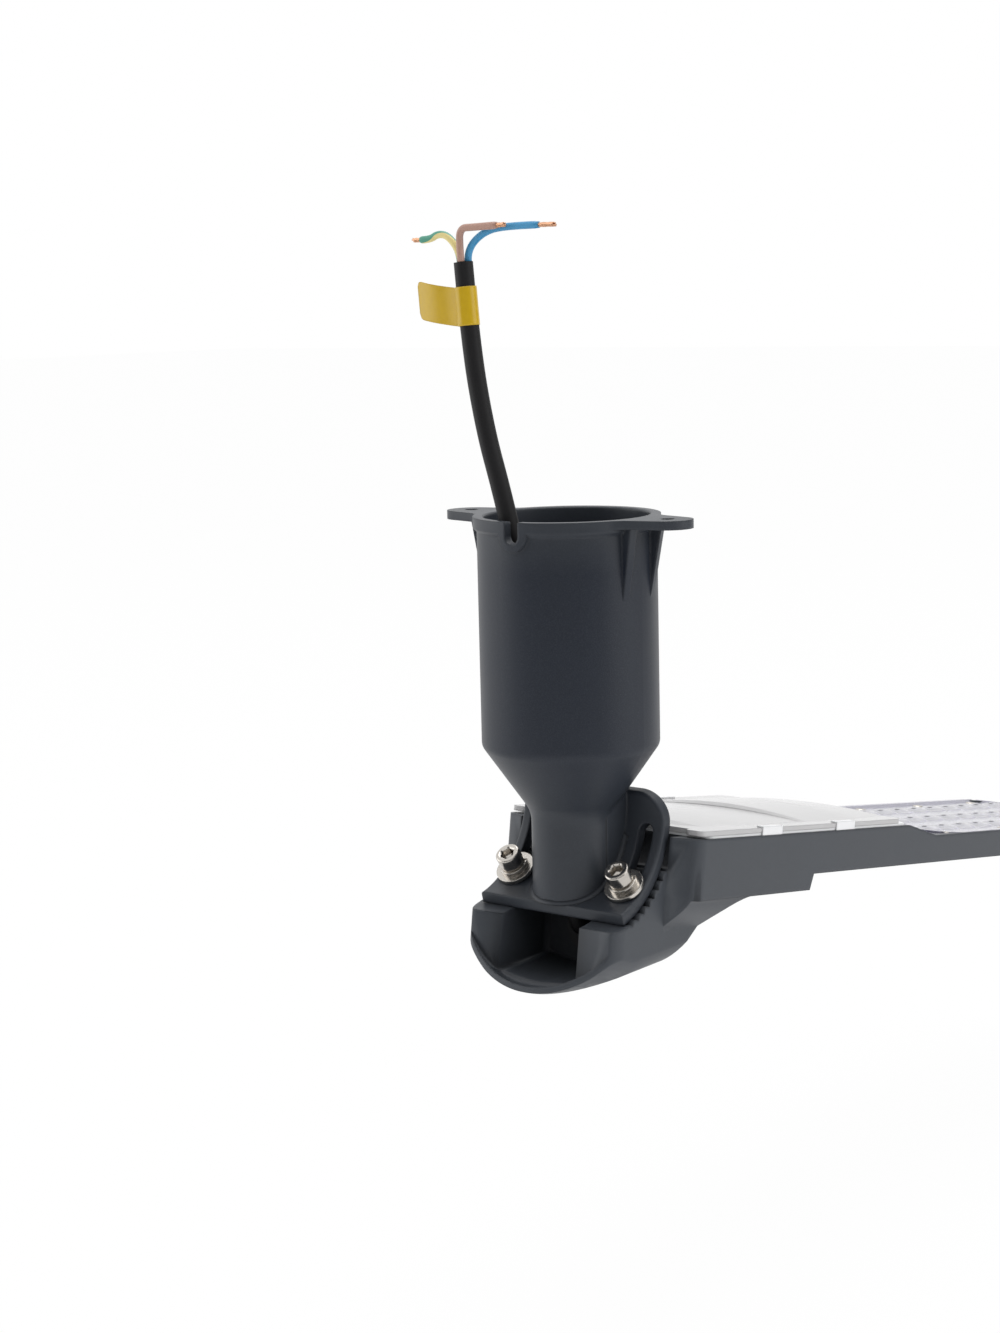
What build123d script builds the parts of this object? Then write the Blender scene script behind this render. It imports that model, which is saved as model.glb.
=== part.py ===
from build123d import *
import math
import os

# LED street light head with a tilting pole spigot.
# Frame: the origin is the centre of the spigot's mouth, +Z runs out of the mouth along the spigot,
# +X runs along the two drilled ears, and the lamp head reaches out towards +Y. Millimetres.

# Pole socket
pole_bore_d = 65.0
socket_wall = 2.5
socket_depth = 88.0
mouth_chamfer = 0.5
knee_z = -90.0
knee_round = 5.0
cone_slope = 35.0
neck_r = 16.2
neck_bore_r = 12.0
cone_round = 12.0
pole_stop = 3.0

# Flange ring, ears and gussets
ring_r = 36.5
ring_h = 4.2
ring_under = 1.5
ear_spacing = 94.6
ear_end_r = 9.8
ear_root_r = 15.0
ear_root_x = 26.0
ear_h = 3.4
ear_blend = 9.0
ear_hole_d = 5.3
gusset_angle = 14.0
gusset_reach = 5.2
gusset_h = 29.0
gusset_t = 3.6

# Cable notch in the rim
notch_w = 6.0
notch_depth = 8.4
notch_lip_w = 3.6
notch_lip_h = 3.0
notch_turn = 1.6

# Tilt plate: an arc about the tilt axis, angles from straight down towards the front
tilt_y = -24.2
tilt_z = -114.5
plate_inner_r = 37.8
plate_t = 4.6
plate_w = 69.0
plate_near = 13.0
plate_far = 97.5
plate_far_round = 13.0
plate_edge_round = 1.2
slot_x = 26.7
slot_w = 6.8
slot_near = 30.8
slot_far = 74.0

# How the head hangs at rest, and its seat
head_tilt = 8.7
rim_z = -124.0
screw_angle = 45.0
running_gap = 0.3
tooth_pitch = 5.5
tooth_depth = 1.3
seat_first = 23.0
seat_teeth = 8
seat_w = 73.0
cable_bay_w = 38.0

# Head casting, in the head's own frame: across, forward, up from the driver rim
head_w = 96.0
head_wall = 3.0
shoulder_s = 20.0
seat_wall_s = 24.5
belly_h = 24.3
belly_step_s = 104.5
thin_h = 17.6
rim_drop_s = 187.0
rim_drop = 5.4
rim_drop_run = 25.0
head_end_s = 430.0
front_round = 14.0
rear_s = -17.0
bowl_r = 80.0
bowl_z = -183.4
bowl_side_round = 11.0
lip_r = 44.0
lip_y = -25.0
lip_fall = 20.0
bowl_flare = 0.5
bowl_edge = 0.9
ramp_s0 = 14.5
ramp_slope = 0.857
ramp_round = 20.0
floor_lip = 6.0
lip_cut = 0.5
post_round = 5.0
flare_s = 14.5
flare_h = 38.5
shoulder_round = 6.0
ledge_h = 12.5
bay_round = 4.0
bay_wall = 5.5
pocket_floor = 12.0
belly_step_run = 2.5
cable_bay_back_s = 15.0
compartment_end_s = 184.0
lamp_bay_s = 214.0

# Clearances between pieces that are fastened together
seat_gap = 0.05
hole_gap = 0.2

# Tilt screws and washers
screw_d = 6.0
screw_head_d = 10.0
screw_head_h = 6.2
screw_length = 24.0
screw_tip_gap = 1.0
hex_socket = 5.0
hex_depth = 3.5
washer_rise = 1.2
spring_washer_d = 11.8
spring_washer_t = 2.2
flat_washer_d = 16.0
flat_washer_t = 1.6

# Driver cover
cover_t = 1.6
cover_edge = 0.6
cover_s0 = 21.0
cover_s1 = 181.0
cover_edge_h = 2.1
gasket_t = 0.9
clip_t = 0.5
clip_w = 15.0
clip_reach = 2.6
clip_places = (64.5, 123.0)
# Sections of the arched part: place along the head, half width, base and crown
rear_sections = [(29, 40, 1.6, 3.4), (38, 43, 2.4, 4.6), (64, 43.5, 2.4, 5.0), (109.5, 43.5, 2.4, 5.0)]
front_sections = [
    (108.5, 43.5, 2.4, 5.2),
    (111, 44, 2.4, 6.5),
    (150, 44, 2.4, 6.6),
    (180, 44, 2.2, 5.3),
    (187, 42, 1.4, 4.4),
    (208, 33, -3.6, 0.3),
    (224, 16, -5.4, -3.4),
]

# Lamp parts
board_t = 1.6
chip_size = 3.5
chip_t = 0.8
board_s0 = 217.0
lens_s0 = 227.0
lens_rows = 11
lens_pitch_x = 26.0
lens_pitch_s = 17.0
lens_first_s = 245.0
lens_r = 7.4
lens_rise = 2.6
lens_dimple_r = 2.2
lens_top = -8.0
lens_panel_t = 2.4
lens_panel_gap = 0.4
lens_skirt_w = 2.0
lens_screw_x = 39.0
lens_screw_s = (236.5, 296.0, 355.0, 413.5)

# Driver and its neighbours in the compartment
driver_w = 56.0
driver_h = 14.0
driver_foot = 6.0
driver_end_gap = 1.0
driver_rear_gap = 4.5
driver_foot_t = 2.0
driver_screw_x = 20.0
terminal_w = 26.0
terminal_l = 13.0
terminal_h = 12.0
terminal_s = 72.0
terminal_x = -18.0
surge_w = 22.0
surge_l = 34.0
surge_h = 12.0
surge_s = 64.0
surge_x = 16.0
small_screw_d = 3.0
small_head_d = 5.6
small_head_h = 2.2
thread_depth = 2.4
earth_x = 38.5
earth_s = 90.0
vent_x = -36.0
vent_s = 84.0
vent_d = 8.0
lead_from_side = 16.0
lead_h = -10.2
lead_bore_d = 6.0
lead_out_d = 4.0
lead_in_d = 5.0
lead_in_h = -15.0
driver_lead_h = -9.8
grommet_up = 17.0
grommet_d = 14.0
grommet_lip = 1.5
grommet_l = 5.4

# Supply cable
cable_d = 7.4
core_d = 2.8
strand_d = 1.9
core_straight = 4.5
core_radii = {"earth_core": [6.0, 3.0, 3.5, 6.0], "live_core": [9.0, 3.2, 40.0], "neutral_core": [6.0, 8.0, 30.0]}
strand_lengths = {"earth_core": 4.0, "live_core": 4.2, "neutral_core": 8.0}
tag_t = 0.35
tag_top = 8.0
tag_length = 14.5
tag_flag = 23.0
neck_end_z = -146.4
loop_r = 7.8

bore_r = pole_bore_d / 2
socket_r = bore_r + socket_wall
plate_outer_r = plate_inner_r + plate_t
seat_crest_r = plate_outer_r + running_gap
seat_root_r = seat_crest_r + tooth_depth
cone_run = (socket_r - neck_r) / math.tan(math.radians(cone_slope))

os.makedirs("parts", exist_ok=True)


def save(name, shape):
    """Writes one sub-part's STEP file."""
    solids = shape.solids()
    whole = solids[0] if len(solids) == 1 else Compound(children=list(solids))
    whole.label = name
    export_step(whole, f"parts/{name}.step")


def on_head(shape):
    """Carries a shape from the head's own frame to its place at rest."""
    return Location((0, 0, rim_z), (-head_tilt, 0, 0)) * shape


def box(x0, x1, y0, y1, z0, z1):
    """A box between two corners."""
    middle = ((x0 + x1) / 2, (y0 + y1) / 2, (z0 + z1) / 2)
    return Pos(*middle) * Box(x1 - x0, y1 - y0, z1 - z0)


def disc(radius, z0, z1):
    """A cylinder about Z between two heights."""
    return Pos(0, 0, (z0 + z1) / 2) * Cylinder(radius, z1 - z0)


def across(face, half):
    """Extrudes a face of the Y-Z plane to the same distance on both sides."""
    return extrude(Plane.YZ * face, amount=half, both=True)


def sector(inner, outer, near, far):
    """A ring sector about the tilt axis, in the Y-Z plane, between two angles from straight down."""
    turn = far - near
    low = CenterArc((tilt_y, tilt_z), inner, near - 90, turn)
    high = CenterArc((tilt_y, tilt_z), outer, near - 90, turn)
    return make_face([low, high, Line(low @ 0, high @ 0), Line(low @ 1, high @ 1)])


def arc_plane(radius, angle, x):
    """A plane on the arc about the tilt axis, its normal pointing back at that axis."""
    a = math.radians(angle)
    place = (x, tilt_y + radius * math.sin(a), tilt_z - radius * math.cos(a))
    return Plane(origin=place, x_dir=(1, 0, 0), z_dir=(0, -math.sin(a), math.cos(a)))


def tube(points, diameter, radii=None):
    """A cord along straight runs with arcs as large as the runs allow."""
    corners = [Vector(*p) for p in points]
    runs = [b - a for a, b in zip(corners, corners[1:])]
    if radii is None:
        radii = []
        for first, second in zip(runs, runs[1:]):
            half_turn = math.radians(first.get_angle(second)) / 2
            radii.append(0.45 * min(first.length, second.length) / math.tan(half_turn))
    path = FilletPolyline(*corners, radius=radii) if radii else Line(*corners)
    section = Plane(origin=path @ 0, z_dir=path % 0) * Circle(diameter / 2)
    cord = sweep(section, path=path)
    expected = math.pi * diameter**2 / 4 * path.length
    sizes = ", ".join(f"{r:.0f}" for r in radii)
    print(f"cord {diameter} mm, length {path.length:.1f}, volume ratio {cord.volume / expected:.4f}, radii {sizes}")
    return cord


# Pole spigot

def ear():
    """One drilled ear on the +X side, blended into the ring."""
    end = Pos(ear_spacing / 2, 0) * Circle(ear_end_r)
    root = Pos(ear_root_x, 0) * Circle(ear_root_r)
    return make_hull([*end.edges(), *root.edges()])


def flange():
    """The flange ring with both ears, their hollows rounded."""
    outline = Circle(ring_r) + ear() + mirror(ear(), about=Plane.YZ)
    thin = extrude(offset(offset(outline, ear_blend), -ear_blend), amount=-ear_h)
    lip = disc(ring_r, -ring_h, 0)
    under = chamfer(disc(ring_r, -ring_h - ring_under, -ring_h).edges().group_by(Axis.Z)[0], ring_under - 0.1)
    return thin + lip + under


def gussets():
    """Four tapering ribs that carry the ears."""
    face = make_face(Polyline((bore_r, 0), (socket_r + gusset_reach, 0), (socket_r, -gusset_h), (bore_r, -gusset_h), close=True))
    rib = extrude(Plane.XZ * face, amount=gusset_t / 2, both=True)
    rib = Pos(0, 0, -ear_h / 2) * rib
    turns = (gusset_angle, -gusset_angle, 180 + gusset_angle, 180 - gusset_angle)
    return [Rot(0, 0, turn) * rib for turn in turns]


def spigot_body():
    """The turned outside: ring seat, socket, shoulder cone and neck."""
    foot_z = tilt_z - plate_outer_r
    profile = Polyline(
        (0, 0),
        (socket_r, 0),
        (socket_r, knee_z),
        (neck_r, knee_z - cone_run),
        (neck_r, foot_z),
        (0, foot_z),
        close=True,
    )
    face = make_face(Plane.XZ * profile)
    knee = face.vertices().sort_by_distance((socket_r, 0, knee_z))[0]
    face = fillet(knee, knee_round)
    waist = face.vertices().sort_by_distance((neck_r, 0, knee_z - cone_run))[0]
    face = fillet(waist, cone_round)
    return revolve(face, axis=Axis.Z)


def spigot_bore():
    """The pole socket, its stop ledge, the inner cone and the neck passage."""
    inner_slope = cone_run / (socket_r - neck_r)
    ledge_r = bore_r - pole_stop
    cone_z = -socket_depth - (ledge_r - neck_bore_r) * inner_slope
    profile = Polyline(
        (0, mouth_chamfer),
        (bore_r + 2 * mouth_chamfer, mouth_chamfer),
        (bore_r, -mouth_chamfer),
        (bore_r, -socket_depth),
        (ledge_r, -socket_depth),
        (neck_bore_r, cone_z),
        (neck_bore_r, tilt_z - 2 * plate_outer_r),
        (0, tilt_z - 2 * plate_outer_r),
        close=True,
    )
    return revolve(make_face(Plane.XZ * profile), axis=Axis.Z)


def notch_shape(half_width, depth, z_top):
    """A U on the X-Z plane, open at the top."""
    foot = Pos(0, -depth + half_width) * Circle(half_width)
    leg = Pos(0, (z_top - depth + half_width) / 2) * Rectangle(2 * half_width, z_top + depth - half_width)
    return foot + leg


def tilt_plate():
    """The curved plate with its two slots."""
    plate = across(sector(plate_inner_r, plate_outer_r, plate_near, plate_far), plate_w / 2)
    middle_r = (plate_inner_r + plate_outer_r) / 2
    corners = [
        plate.edges().sort_by_distance(arc_plane(middle_r, plate_far, side * plate_w / 2).origin)[0]
        for side in (-1, 1)
    ]
    plate = fillet(corners, plate_far_round)
    inside = plate.edges().filter_by(
        lambda e: abs((e.center() - Vector(e.center().X, tilt_y, tilt_z)).length - plate_inner_r) < 0.5
        and abs(e.center().X) > plate_w / 2 - 1
        and e.length > plate_far_round
    )
    return fillet(inside, plate_edge_round)


def slots():
    """Both slots for the tilt screws."""
    cut = across(sector(plate_inner_r - 2, plate_outer_r + 2, slot_near, slot_far), slot_w / 2)
    for angle in (slot_near, slot_far):
        cut += arc_plane(plate_inner_r - 2, angle, 0) * Pos(0, 0, -plate_t / 2 - 2) * Cylinder(slot_w / 2, plate_t + 4)
    return [Pos(side * slot_x, 0, 0) * cut for side in (-1, 1)]


def neck_web():
    """The block that joins the neck's front to the hollow side of the plate."""
    half = neck_r + 0.5
    block = box(-half, half, 0, plate_inner_r, tilt_z - plate_inner_r, knee_z - cone_run / 2)
    return block & across(sector(1, plate_inner_r + plate_t / 2, 0, 150), half + 1)


def notch_pad():
    """The raised lip round the cable notch."""
    half = notch_w / 2 + notch_lip_w
    depth = notch_depth + notch_lip_h
    pad = extrude(Plane.XZ * notch_shape(half, depth, 0), amount=ring_r + 1)
    return Rot(0, 0, notch_turn) * pad & disc(ring_r, -depth - 1, 0)


def pole_spigot():
    """The whole spigot casting."""
    beyond = across(sector(plate_inner_r + plate_t / 2, 90, -90, 90), socket_r + 5)
    near_end = across(sector(plate_inner_r - 14, 90, -40, plate_near), socket_r + 5)
    body = spigot_body() + neck_web() - beyond - near_end + tilt_plate()
    body = body + flange() + gussets() + notch_pad()
    body -= spigot_bore()
    notch = extrude(Plane.XZ * notch_shape(notch_w / 2, notch_depth, 1), amount=ring_r + 2)
    body -= Rot(0, 0, notch_turn) * notch
    for side in (-1, 1):
        body -= Pos(side * ear_spacing / 2, 0, 0) * disc(ear_hole_d / 2, -ear_h - 1, 1)
    return body - slots()


save("pole_spigot", pole_spigot())


# Head casting, drawn in the head's own frame

turn_cos = math.cos(math.radians(head_tilt))
turn_sin = math.sin(math.radians(head_tilt))
axis_s = tilt_y * turn_cos - (tilt_z - rim_z) * turn_sin
axis_h = tilt_y * turn_sin + (tilt_z - rim_z) * turn_cos
half_w = head_w / 2
seat_half = seat_w / 2
washer_r = plate_inner_r - washer_rise
spring_r = washer_r - flat_washer_t
head_r = spring_r - spring_washer_t
bowl_drop = (rim_z - bowl_z) * turn_cos - ramp_s0 * turn_sin + bowl_edge
lip_drop = bowl_drop + lip_cut
ramp_h0 = -bowl_drop - 2
ramp_s1 = ramp_s0 + (bowl_drop - belly_h) / ramp_slope


def from_row(shape):
    """Brings a shape of the resting frame into the head's own frame."""
    return Location((0, 0, rim_z), (-head_tilt, 0, 0)).inverse() * shape


def seat_sector(inner, outer, near, far):
    """A ring sector about the tilt axis, drawn in the head's own frame."""
    move = Pos(axis_s - tilt_y, axis_h - tilt_z)
    return move * sector(inner, outer, near, far)


def seat_plane(radius, x):
    """A plane on a tilt screw's line, its normal pointing back at the tilt axis."""
    a = math.radians(screw_angle)
    place = (x, axis_s + radius * math.sin(a), axis_h - radius * math.cos(a))
    return Plane(origin=place, x_dir=(1, 0, 0), z_dir=(0, -math.sin(a), math.cos(a)))


def rounded_box(x0, x1, y0, y1, z0, z1, radius):
    """A box with its four upright edges rounded."""
    middle = ((x0 + x1) / 2, (y0 + y1) / 2)
    return extrude(Pos(*middle, z0) * RectangleRounded(x1 - x0, y1 - y0, radius), amount=z1 - z0)


def wide_part():
    """The wide shallow body from the shoulders to the front end."""
    plan = make_face(Polyline(
        (seat_half, flare_s),
        (half_w, shoulder_s),
        (half_w, head_end_s),
        (-half_w, head_end_s),
        (-half_w, shoulder_s),
        (-seat_half, flare_s),
        close=True,
    ))
    front = plan.vertices().group_by(Axis.Y)[-1]
    plan = fillet(front, front_round)
    shoulders = [v for v in plan.vertices() if abs(v.Y - shoulder_s) < 0.1]
    plan = fillet(shoulders, shoulder_round)
    side = make_face(Polyline(
        (flare_s - 1, 0),
        (rim_drop_s, 0),
        (rim_drop_s + rim_drop_run, -rim_drop),
        (head_end_s + 1, -rim_drop),
        (head_end_s + 1, -thin_h),
        (belly_step_s + belly_step_run, -thin_h),
        (belly_step_s, -belly_h),
        (ramp_s1, -belly_h),
        (flare_s - 1, -flare_h),
        close=True,
    ))
    return extrude(plan, amount=-flare_h - 1) & across(side, half_w + 1)


def bowl(inset):
    """The bowl-shaped cross-section of the deep rear, drawn inwards by an inset and run along the resting Y."""
    half = seat_half + bowl_flare - inset
    radius = bowl_r - inset
    side_z = bowl_z + bowl_r - math.sqrt(radius**2 - half**2)
    wall = Polyline((-half, side_z), (-half, rim_z + 20), (half, rim_z + 20), (half, side_z))
    foot = ThreePointArc((-half, side_z), (0, bowl_z + inset), (half, side_z))
    face = Plane.XZ * make_face([wall, foot])
    face = fillet(face.vertices().group_by(Axis.Z)[0], bowl_side_round - inset / 2)
    return from_row(extrude(face, amount=200, both=True))


def lip(inset):
    """A round section whose line falls forwards, so it only trims the rear end's lower corners."""
    run = Rot(90, 0, 0) * Cylinder(lip_r - inset, 400)
    run += box(inset - lip_r, lip_r - inset, -200, 200, 0, 150)
    return from_row(Pos(0, lip_y, bowl_z + lip_r) * Rot(-lip_fall, 0, 0) * run)


def deep_rear():
    """The deep rear body with its bowl-shaped bottom."""
    plan = make_face([
        Polyline((-seat_half, rear_s), (-seat_half, ramp_s1 + 10), (seat_half, ramp_s1 + 10), (seat_half, rear_s)),
        ThreePointArc((-seat_half, rear_s), (0, rear_s - floor_lip), (seat_half, rear_s)),
    ])
    corners = [v for v in plan.vertices() if v.Y < rear_s + 1]
    plan = fillet(corners, post_round)
    side = make_face(Polyline(
        (rear_s - floor_lip - 1, -3),
        (ramp_s1 + 9, -3),
        (ramp_s1 + 9, -belly_h),
        (ramp_s1, -belly_h),
        (ramp_s0, -bowl_drop),
        (rear_s - floor_lip - 1, ramp_h0 - 3),
        close=True,
    ))
    bends = [v for v in side.vertices() if abs(v.X - ramp_s1) < 0.1 or abs(v.X - ramp_s0) < 0.1]
    side = fillet(bends, ramp_round)
    body = extrude(Pos(0, 0, -90) * plan, amount=90) & across(side, half_w)
    body = body & bowl(0)
    body = body & lip(0)
    return body - box(-half_w, half_w, rear_s - 30, rear_s, -lip_drop, 1)


def seat_cut():
    """What the toothed arc seat and the step above it take away."""
    seat = seat_sector(0.01, seat_crest_r, -60, 90)
    for tooth in range(seat_teeth):
        angle = seat_first + tooth * tooth_pitch
        points = []
        for step, radius in ((0, seat_crest_r - 1), (0.5, seat_root_r), (1, seat_crest_r - 1)):
            a = math.radians(angle + step * tooth_pitch)
            points.append((axis_s + radius * math.sin(a), axis_h - radius * math.cos(a)))
        seat += make_face(Polyline(*points, close=True))
    arc = across(seat, seat_half + 0.1)
    step_box = box(-seat_half - 0.1, seat_half + 0.1, rear_s - 30, seat_wall_s, -ledge_h, 5)
    return arc + step_box


def cable_bay():
    """The open bay between the posts."""
    half = cable_bay_w / 2
    bay = rounded_box(-half, half, rear_s - 60, cable_bay_back_s, -90, 5, bay_round)
    return bay & bowl(head_wall) & lip(head_wall)


def compartments():
    """The driver compartment, its deep pocket and the lamp bay."""
    half = half_w - head_wall
    start = seat_wall_s + head_wall
    shallow = rounded_box(-half, half, start, compartment_end_s, -thin_h + head_wall, 1, 4)
    middle_s = belly_step_s - head_wall
    deep = rounded_box(-half, half, start, middle_s, -belly_h + head_wall, -5, 4)
    pocket_half = seat_half - head_wall
    back = cable_bay_back_s + bay_wall
    slope_shift = -head_wall / math.cos(math.atan(ramp_slope))
    low = pocket_floor - bowl_drop
    pocket_s = ramp_s0 + (bowl_drop + low + slope_shift) / ramp_slope
    top_s = ramp_s0 + (bowl_drop - belly_h + head_wall + slope_shift) / ramp_slope
    pocket = across(make_face(Polyline(
        (back, -ledge_h - head_wall),
        (start, -ledge_h - head_wall),
        (start, -8),
        (top_s, -8),
        (top_s, -belly_h + head_wall),
        (pocket_s, low),
        (back, low),
        close=True,
    )), pocket_half)
    pocket &= bowl(head_wall)
    lamp = rounded_box(-half, half, lamp_bay_s, head_end_s - head_wall, -thin_h + head_wall, 1, front_round - head_wall)
    return [shallow, deep, pocket, lamp]


def head_housing():
    """The whole head casting."""
    body = wide_part() + deep_rear()
    body = body - seat_cut() - cable_bay()
    body = body - compartments()
    for side in (-1, 1):
        line = seat_plane(head_r, side * slot_x)
        body -= line * disc(screw_d / 2 + seat_gap, -screw_length - screw_tip_gap, head_r - seat_crest_r + tooth_depth)
    places = [(x, y, bay_floor) for x, y in lens_screw_places + driver_screw_places]
    places.append((earth_x, earth_s, deep_floor))
    for x, y, floor in places:
        body -= Pos(x, y, 0) * disc(small_screw_d / 2 + seat_gap, floor - thread_depth, floor + 1)
    body -= Pos(lead_x, compartment_end_s - 1, lead_h) * Rot(-90, 0, 0) * disc(lead_bore_d / 2, 0, 40)
    body -= Pos(0, cable_bay_back_s - 1, grommet_h) * Rot(-90, 0, 0) * disc(grommet_d / 2, 0, bay_wall + 2)
    body -= Pos(vent_x, vent_s, 0) * disc(vent_d / 2, -belly_h - 1, deep_floor + 1)
    return body


bay_floor = -thin_h + head_wall
deep_floor = -belly_h + head_wall
lens_screw_places = [(side * lens_screw_x, y) for side in (-1, 1) for y in lens_screw_s]
driver_s = belly_step_s + driver_rear_gap + driver_foot
driver_l = compartment_end_s - driver_end_gap - driver_foot - driver_s
lead_x = lead_from_side - driver_w / 2
grommet_h = grommet_up - bowl_drop
driver_ends = (driver_s - driver_foot / 2, driver_s + driver_l + driver_foot / 2)
driver_screw_places = [(side * driver_screw_x, y) for side in (-1, 1) for y in driver_ends]

save("head_housing", on_head(head_housing()))


# Tilt screws and their washers

def pair(solid, radius):
    """The same piece on both tilt screw lines, its foot at a distance from the tilt axis."""
    return Compound(children=[on_head(seat_plane(radius, side * slot_x) * solid) for side in (-1, 1)])


def tilt_screw():
    """A socket head cap screw with its bearing face at zero and its head upwards."""
    head = disc(screw_head_d / 2, 0, screw_head_h)
    head = chamfer(head.edges().group_by(Axis.Z)[-1], 0.5)
    shank = disc(screw_d / 2, -screw_length, 0)
    shank = chamfer(shank.edges().group_by(Axis.Z)[0], 0.6)
    hexagon = Pos(0, 0, screw_head_h) * RegularPolygon(hex_socket / 2, 6, major_radius=False)
    return head + shank - extrude(hexagon, amount=-hex_depth)


def ring(outer_d, inner_d, z0, z1):
    """A plain ring about Z."""
    return disc(outer_d / 2, z0, z1) - disc(inner_d / 2, z0 - 1, z1 + 1)


def spring_washer():
    """A split ring, its cut slanting."""
    washer = ring(spring_washer_d, screw_d + 2 * hole_gap, 0, spring_washer_t)
    return washer - Rot(0, 0, 40) * Rot(20, 0, 0) * box(0, spring_washer_d, -0.4, 0.4, -9, 9)


save("tilt_screws", pair(tilt_screw(), head_r))
save("spring_washers", pair(spring_washer(), spring_r))
save("flat_washers", pair(ring(flat_washer_d, screw_d + 2 * hole_gap, 0, flat_washer_t), washer_r))


# Driver cover, seal and clips

cover_low = gasket_t + 2 * seat_gap
cover_top = cover_low + cover_edge_h
cover_back = seat_wall_s + cover_edge
cover_half = half_w - cover_edge


def arch(place, half, low, base, crown):
    """An arched section across the head at one place along it."""
    left, right = (-half, base), (half, base)
    legs = Polyline(right, (half, low), (-half, low), left)
    face = make_face([ThreePointArc(left, (0, crown), right), legs])
    return Plane(origin=(0, place, 0), x_dir=(1, 0, 0), z_dir=(0, -1, 0)) * face


def dome(inset):
    """The arched part of the cover; an inset gives its hollow."""
    rear, front = [], []
    for place, half, base, crown in rear_sections:
        rear.append(arch(place, half - inset, cover_low - 3 * inset, base - inset, crown - inset))
    for place, half, base, crown in front_sections:
        low = min(base - 0.4, cover_low) - 3 * inset
        front.append(arch(place, half - inset, low, base - inset, crown - inset))
    return [loft(rear, ruled=True), loft(front, ruled=True)]


def driver_cover():
    """The milky cover with its flat edge, arched middle and nose."""
    edge = rounded_box(-cover_half, cover_half, cover_back, cover_s1, cover_low, cover_top, 5)
    for side in (-1, 1):
        x0, x1 = sorted((side * (seat_half + 2), side * cover_half))
        edge += rounded_box(x0, x1, cover_s0, cover_back + 14, cover_low, cover_top, 3)
    rear, front = dome(0)
    cover = edge + rear + front
    return cover - dome(cover_t)


def cover_gasket():
    """The flat seal on the driver compartment's rim."""
    out = half_w - 0.8
    inner = half_w - head_wall + 0.3
    back = seat_wall_s + 0.8
    start = seat_wall_s + head_wall - 0.3
    outer = rounded_box(-out, out, back, rim_drop_s - 0.8, seat_gap, seat_gap + gasket_t, 5)
    hole = rounded_box(-inner, inner, start, compartment_end_s + 0.3, -1, 3, 4)
    return outer - hole


def cover_clips():
    """Four snap lugs over the cover's edge."""
    clips = []
    top = cover_top + seat_gap
    side = cover_half + seat_gap
    profile = Polyline(
        (cover_half - clip_reach, top),
        (side, top),
        (side, seat_gap),
        (side + clip_t, seat_gap),
        (side + clip_t, top + clip_t),
        (cover_half - clip_reach, top + clip_t),
        close=True,
    )
    clip = extrude(Plane.XZ * make_face(profile), amount=-clip_w)
    for place in clip_places:
        clips.append(on_head(Pos(0, place, 0) * clip))
        clips.append(on_head(Pos(0, place, 0) * mirror(clip, about=Plane.YZ)))
    return Compound(children=clips)


save("driver_cover", on_head(driver_cover()))
save("cover_gasket", on_head(cover_gasket()))
save("cover_clips", cover_clips())


# Driver, terminal block, surge protector and small parts

def small_screw(length):
    """A pan head screw with its bearing face at zero."""
    head = disc(small_head_d / 2, 0, small_head_h)
    head = fillet(head.edges().group_by(Axis.Z)[-1], 0.8)
    cross = box(-1.6, 1.6, -0.35, 0.35, small_head_h - 1, 5) + box(-0.35, 0.35, -1.6, 1.6, small_head_h - 1, 5)
    return head + disc(small_screw_d / 2, -length, 0) - cross


def led_driver():
    """The driver's box on two drilled feet."""
    low = bay_floor + seat_gap
    body = rounded_box(-driver_w / 2, driver_w / 2, driver_s, driver_s + driver_l, low, low + driver_h, 2)
    body = chamfer(body.edges().group_by(Axis.Z)[-1], 1)
    back, front = driver_s - driver_foot, driver_s + driver_l + driver_foot
    foot_half = driver_screw_x + 4
    body += rounded_box(-foot_half, foot_half, back, front, low, low + driver_foot_t, 2)
    for x, y in driver_screw_places:
        body -= Pos(x, y, 0) * disc(small_screw_d / 2 + hole_gap, low - 1, low + driver_foot_t + 1)
    return body


def terminal_block():
    """A three-way screw terminal."""
    x0, x1 = terminal_x - terminal_w / 2, terminal_x + terminal_w / 2
    low = deep_floor + seat_gap
    body = box(x0, x1, terminal_s, terminal_s + terminal_l, low, low + terminal_h)
    pitch = terminal_w / 3
    for way in range(3):
        x = x0 + pitch * (way + 0.5)
        body -= Pos(x, terminal_s + terminal_l / 2, low + terminal_h) * disc(2.4, -4, 1)
    for way in range(1, 3):
        x = x0 + pitch * way
        body -= box(x - 0.5, x + 0.5, terminal_s - 1, terminal_s + terminal_l + 1, low + terminal_h - 2, 5)
    return body


def surge_protector():
    """A sealed surge module with a pair of end slots."""
    low = deep_floor + seat_gap
    x0, x1 = surge_x - surge_w / 2, surge_x + surge_w / 2
    body = rounded_box(x0, x1, surge_s, surge_s + surge_l, low, low + surge_h, 3)
    return fillet(body.edges().group_by(Axis.Z)[-1], 1.5)


def wall_grommet():
    """The rubber bush in the back wall of the cable bay."""
    body = disc((grommet_d - 2 * seat_gap) / 2, 0, grommet_l)
    body += disc(grommet_d / 2 + 2, -seat_gap, grommet_lip - seat_gap)
    body -= disc(cable_d / 2, -1, 20)
    return Pos(0, cable_bay_back_s - grommet_lip, grommet_h) * Rot(-90, 0, 0) * body


def vent_plug():
    """A pressure balance plug in the belly."""
    cap = disc(vent_d / 2 + 2, -belly_h - 2, -belly_h - seat_gap)
    cap = chamfer(cap.edges().group_by(Axis.Z)[0], 0.6)
    return Pos(vent_x, vent_s, 0) * (cap + disc(vent_d / 2 - seat_gap, -belly_h - 1, deep_floor))


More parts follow.
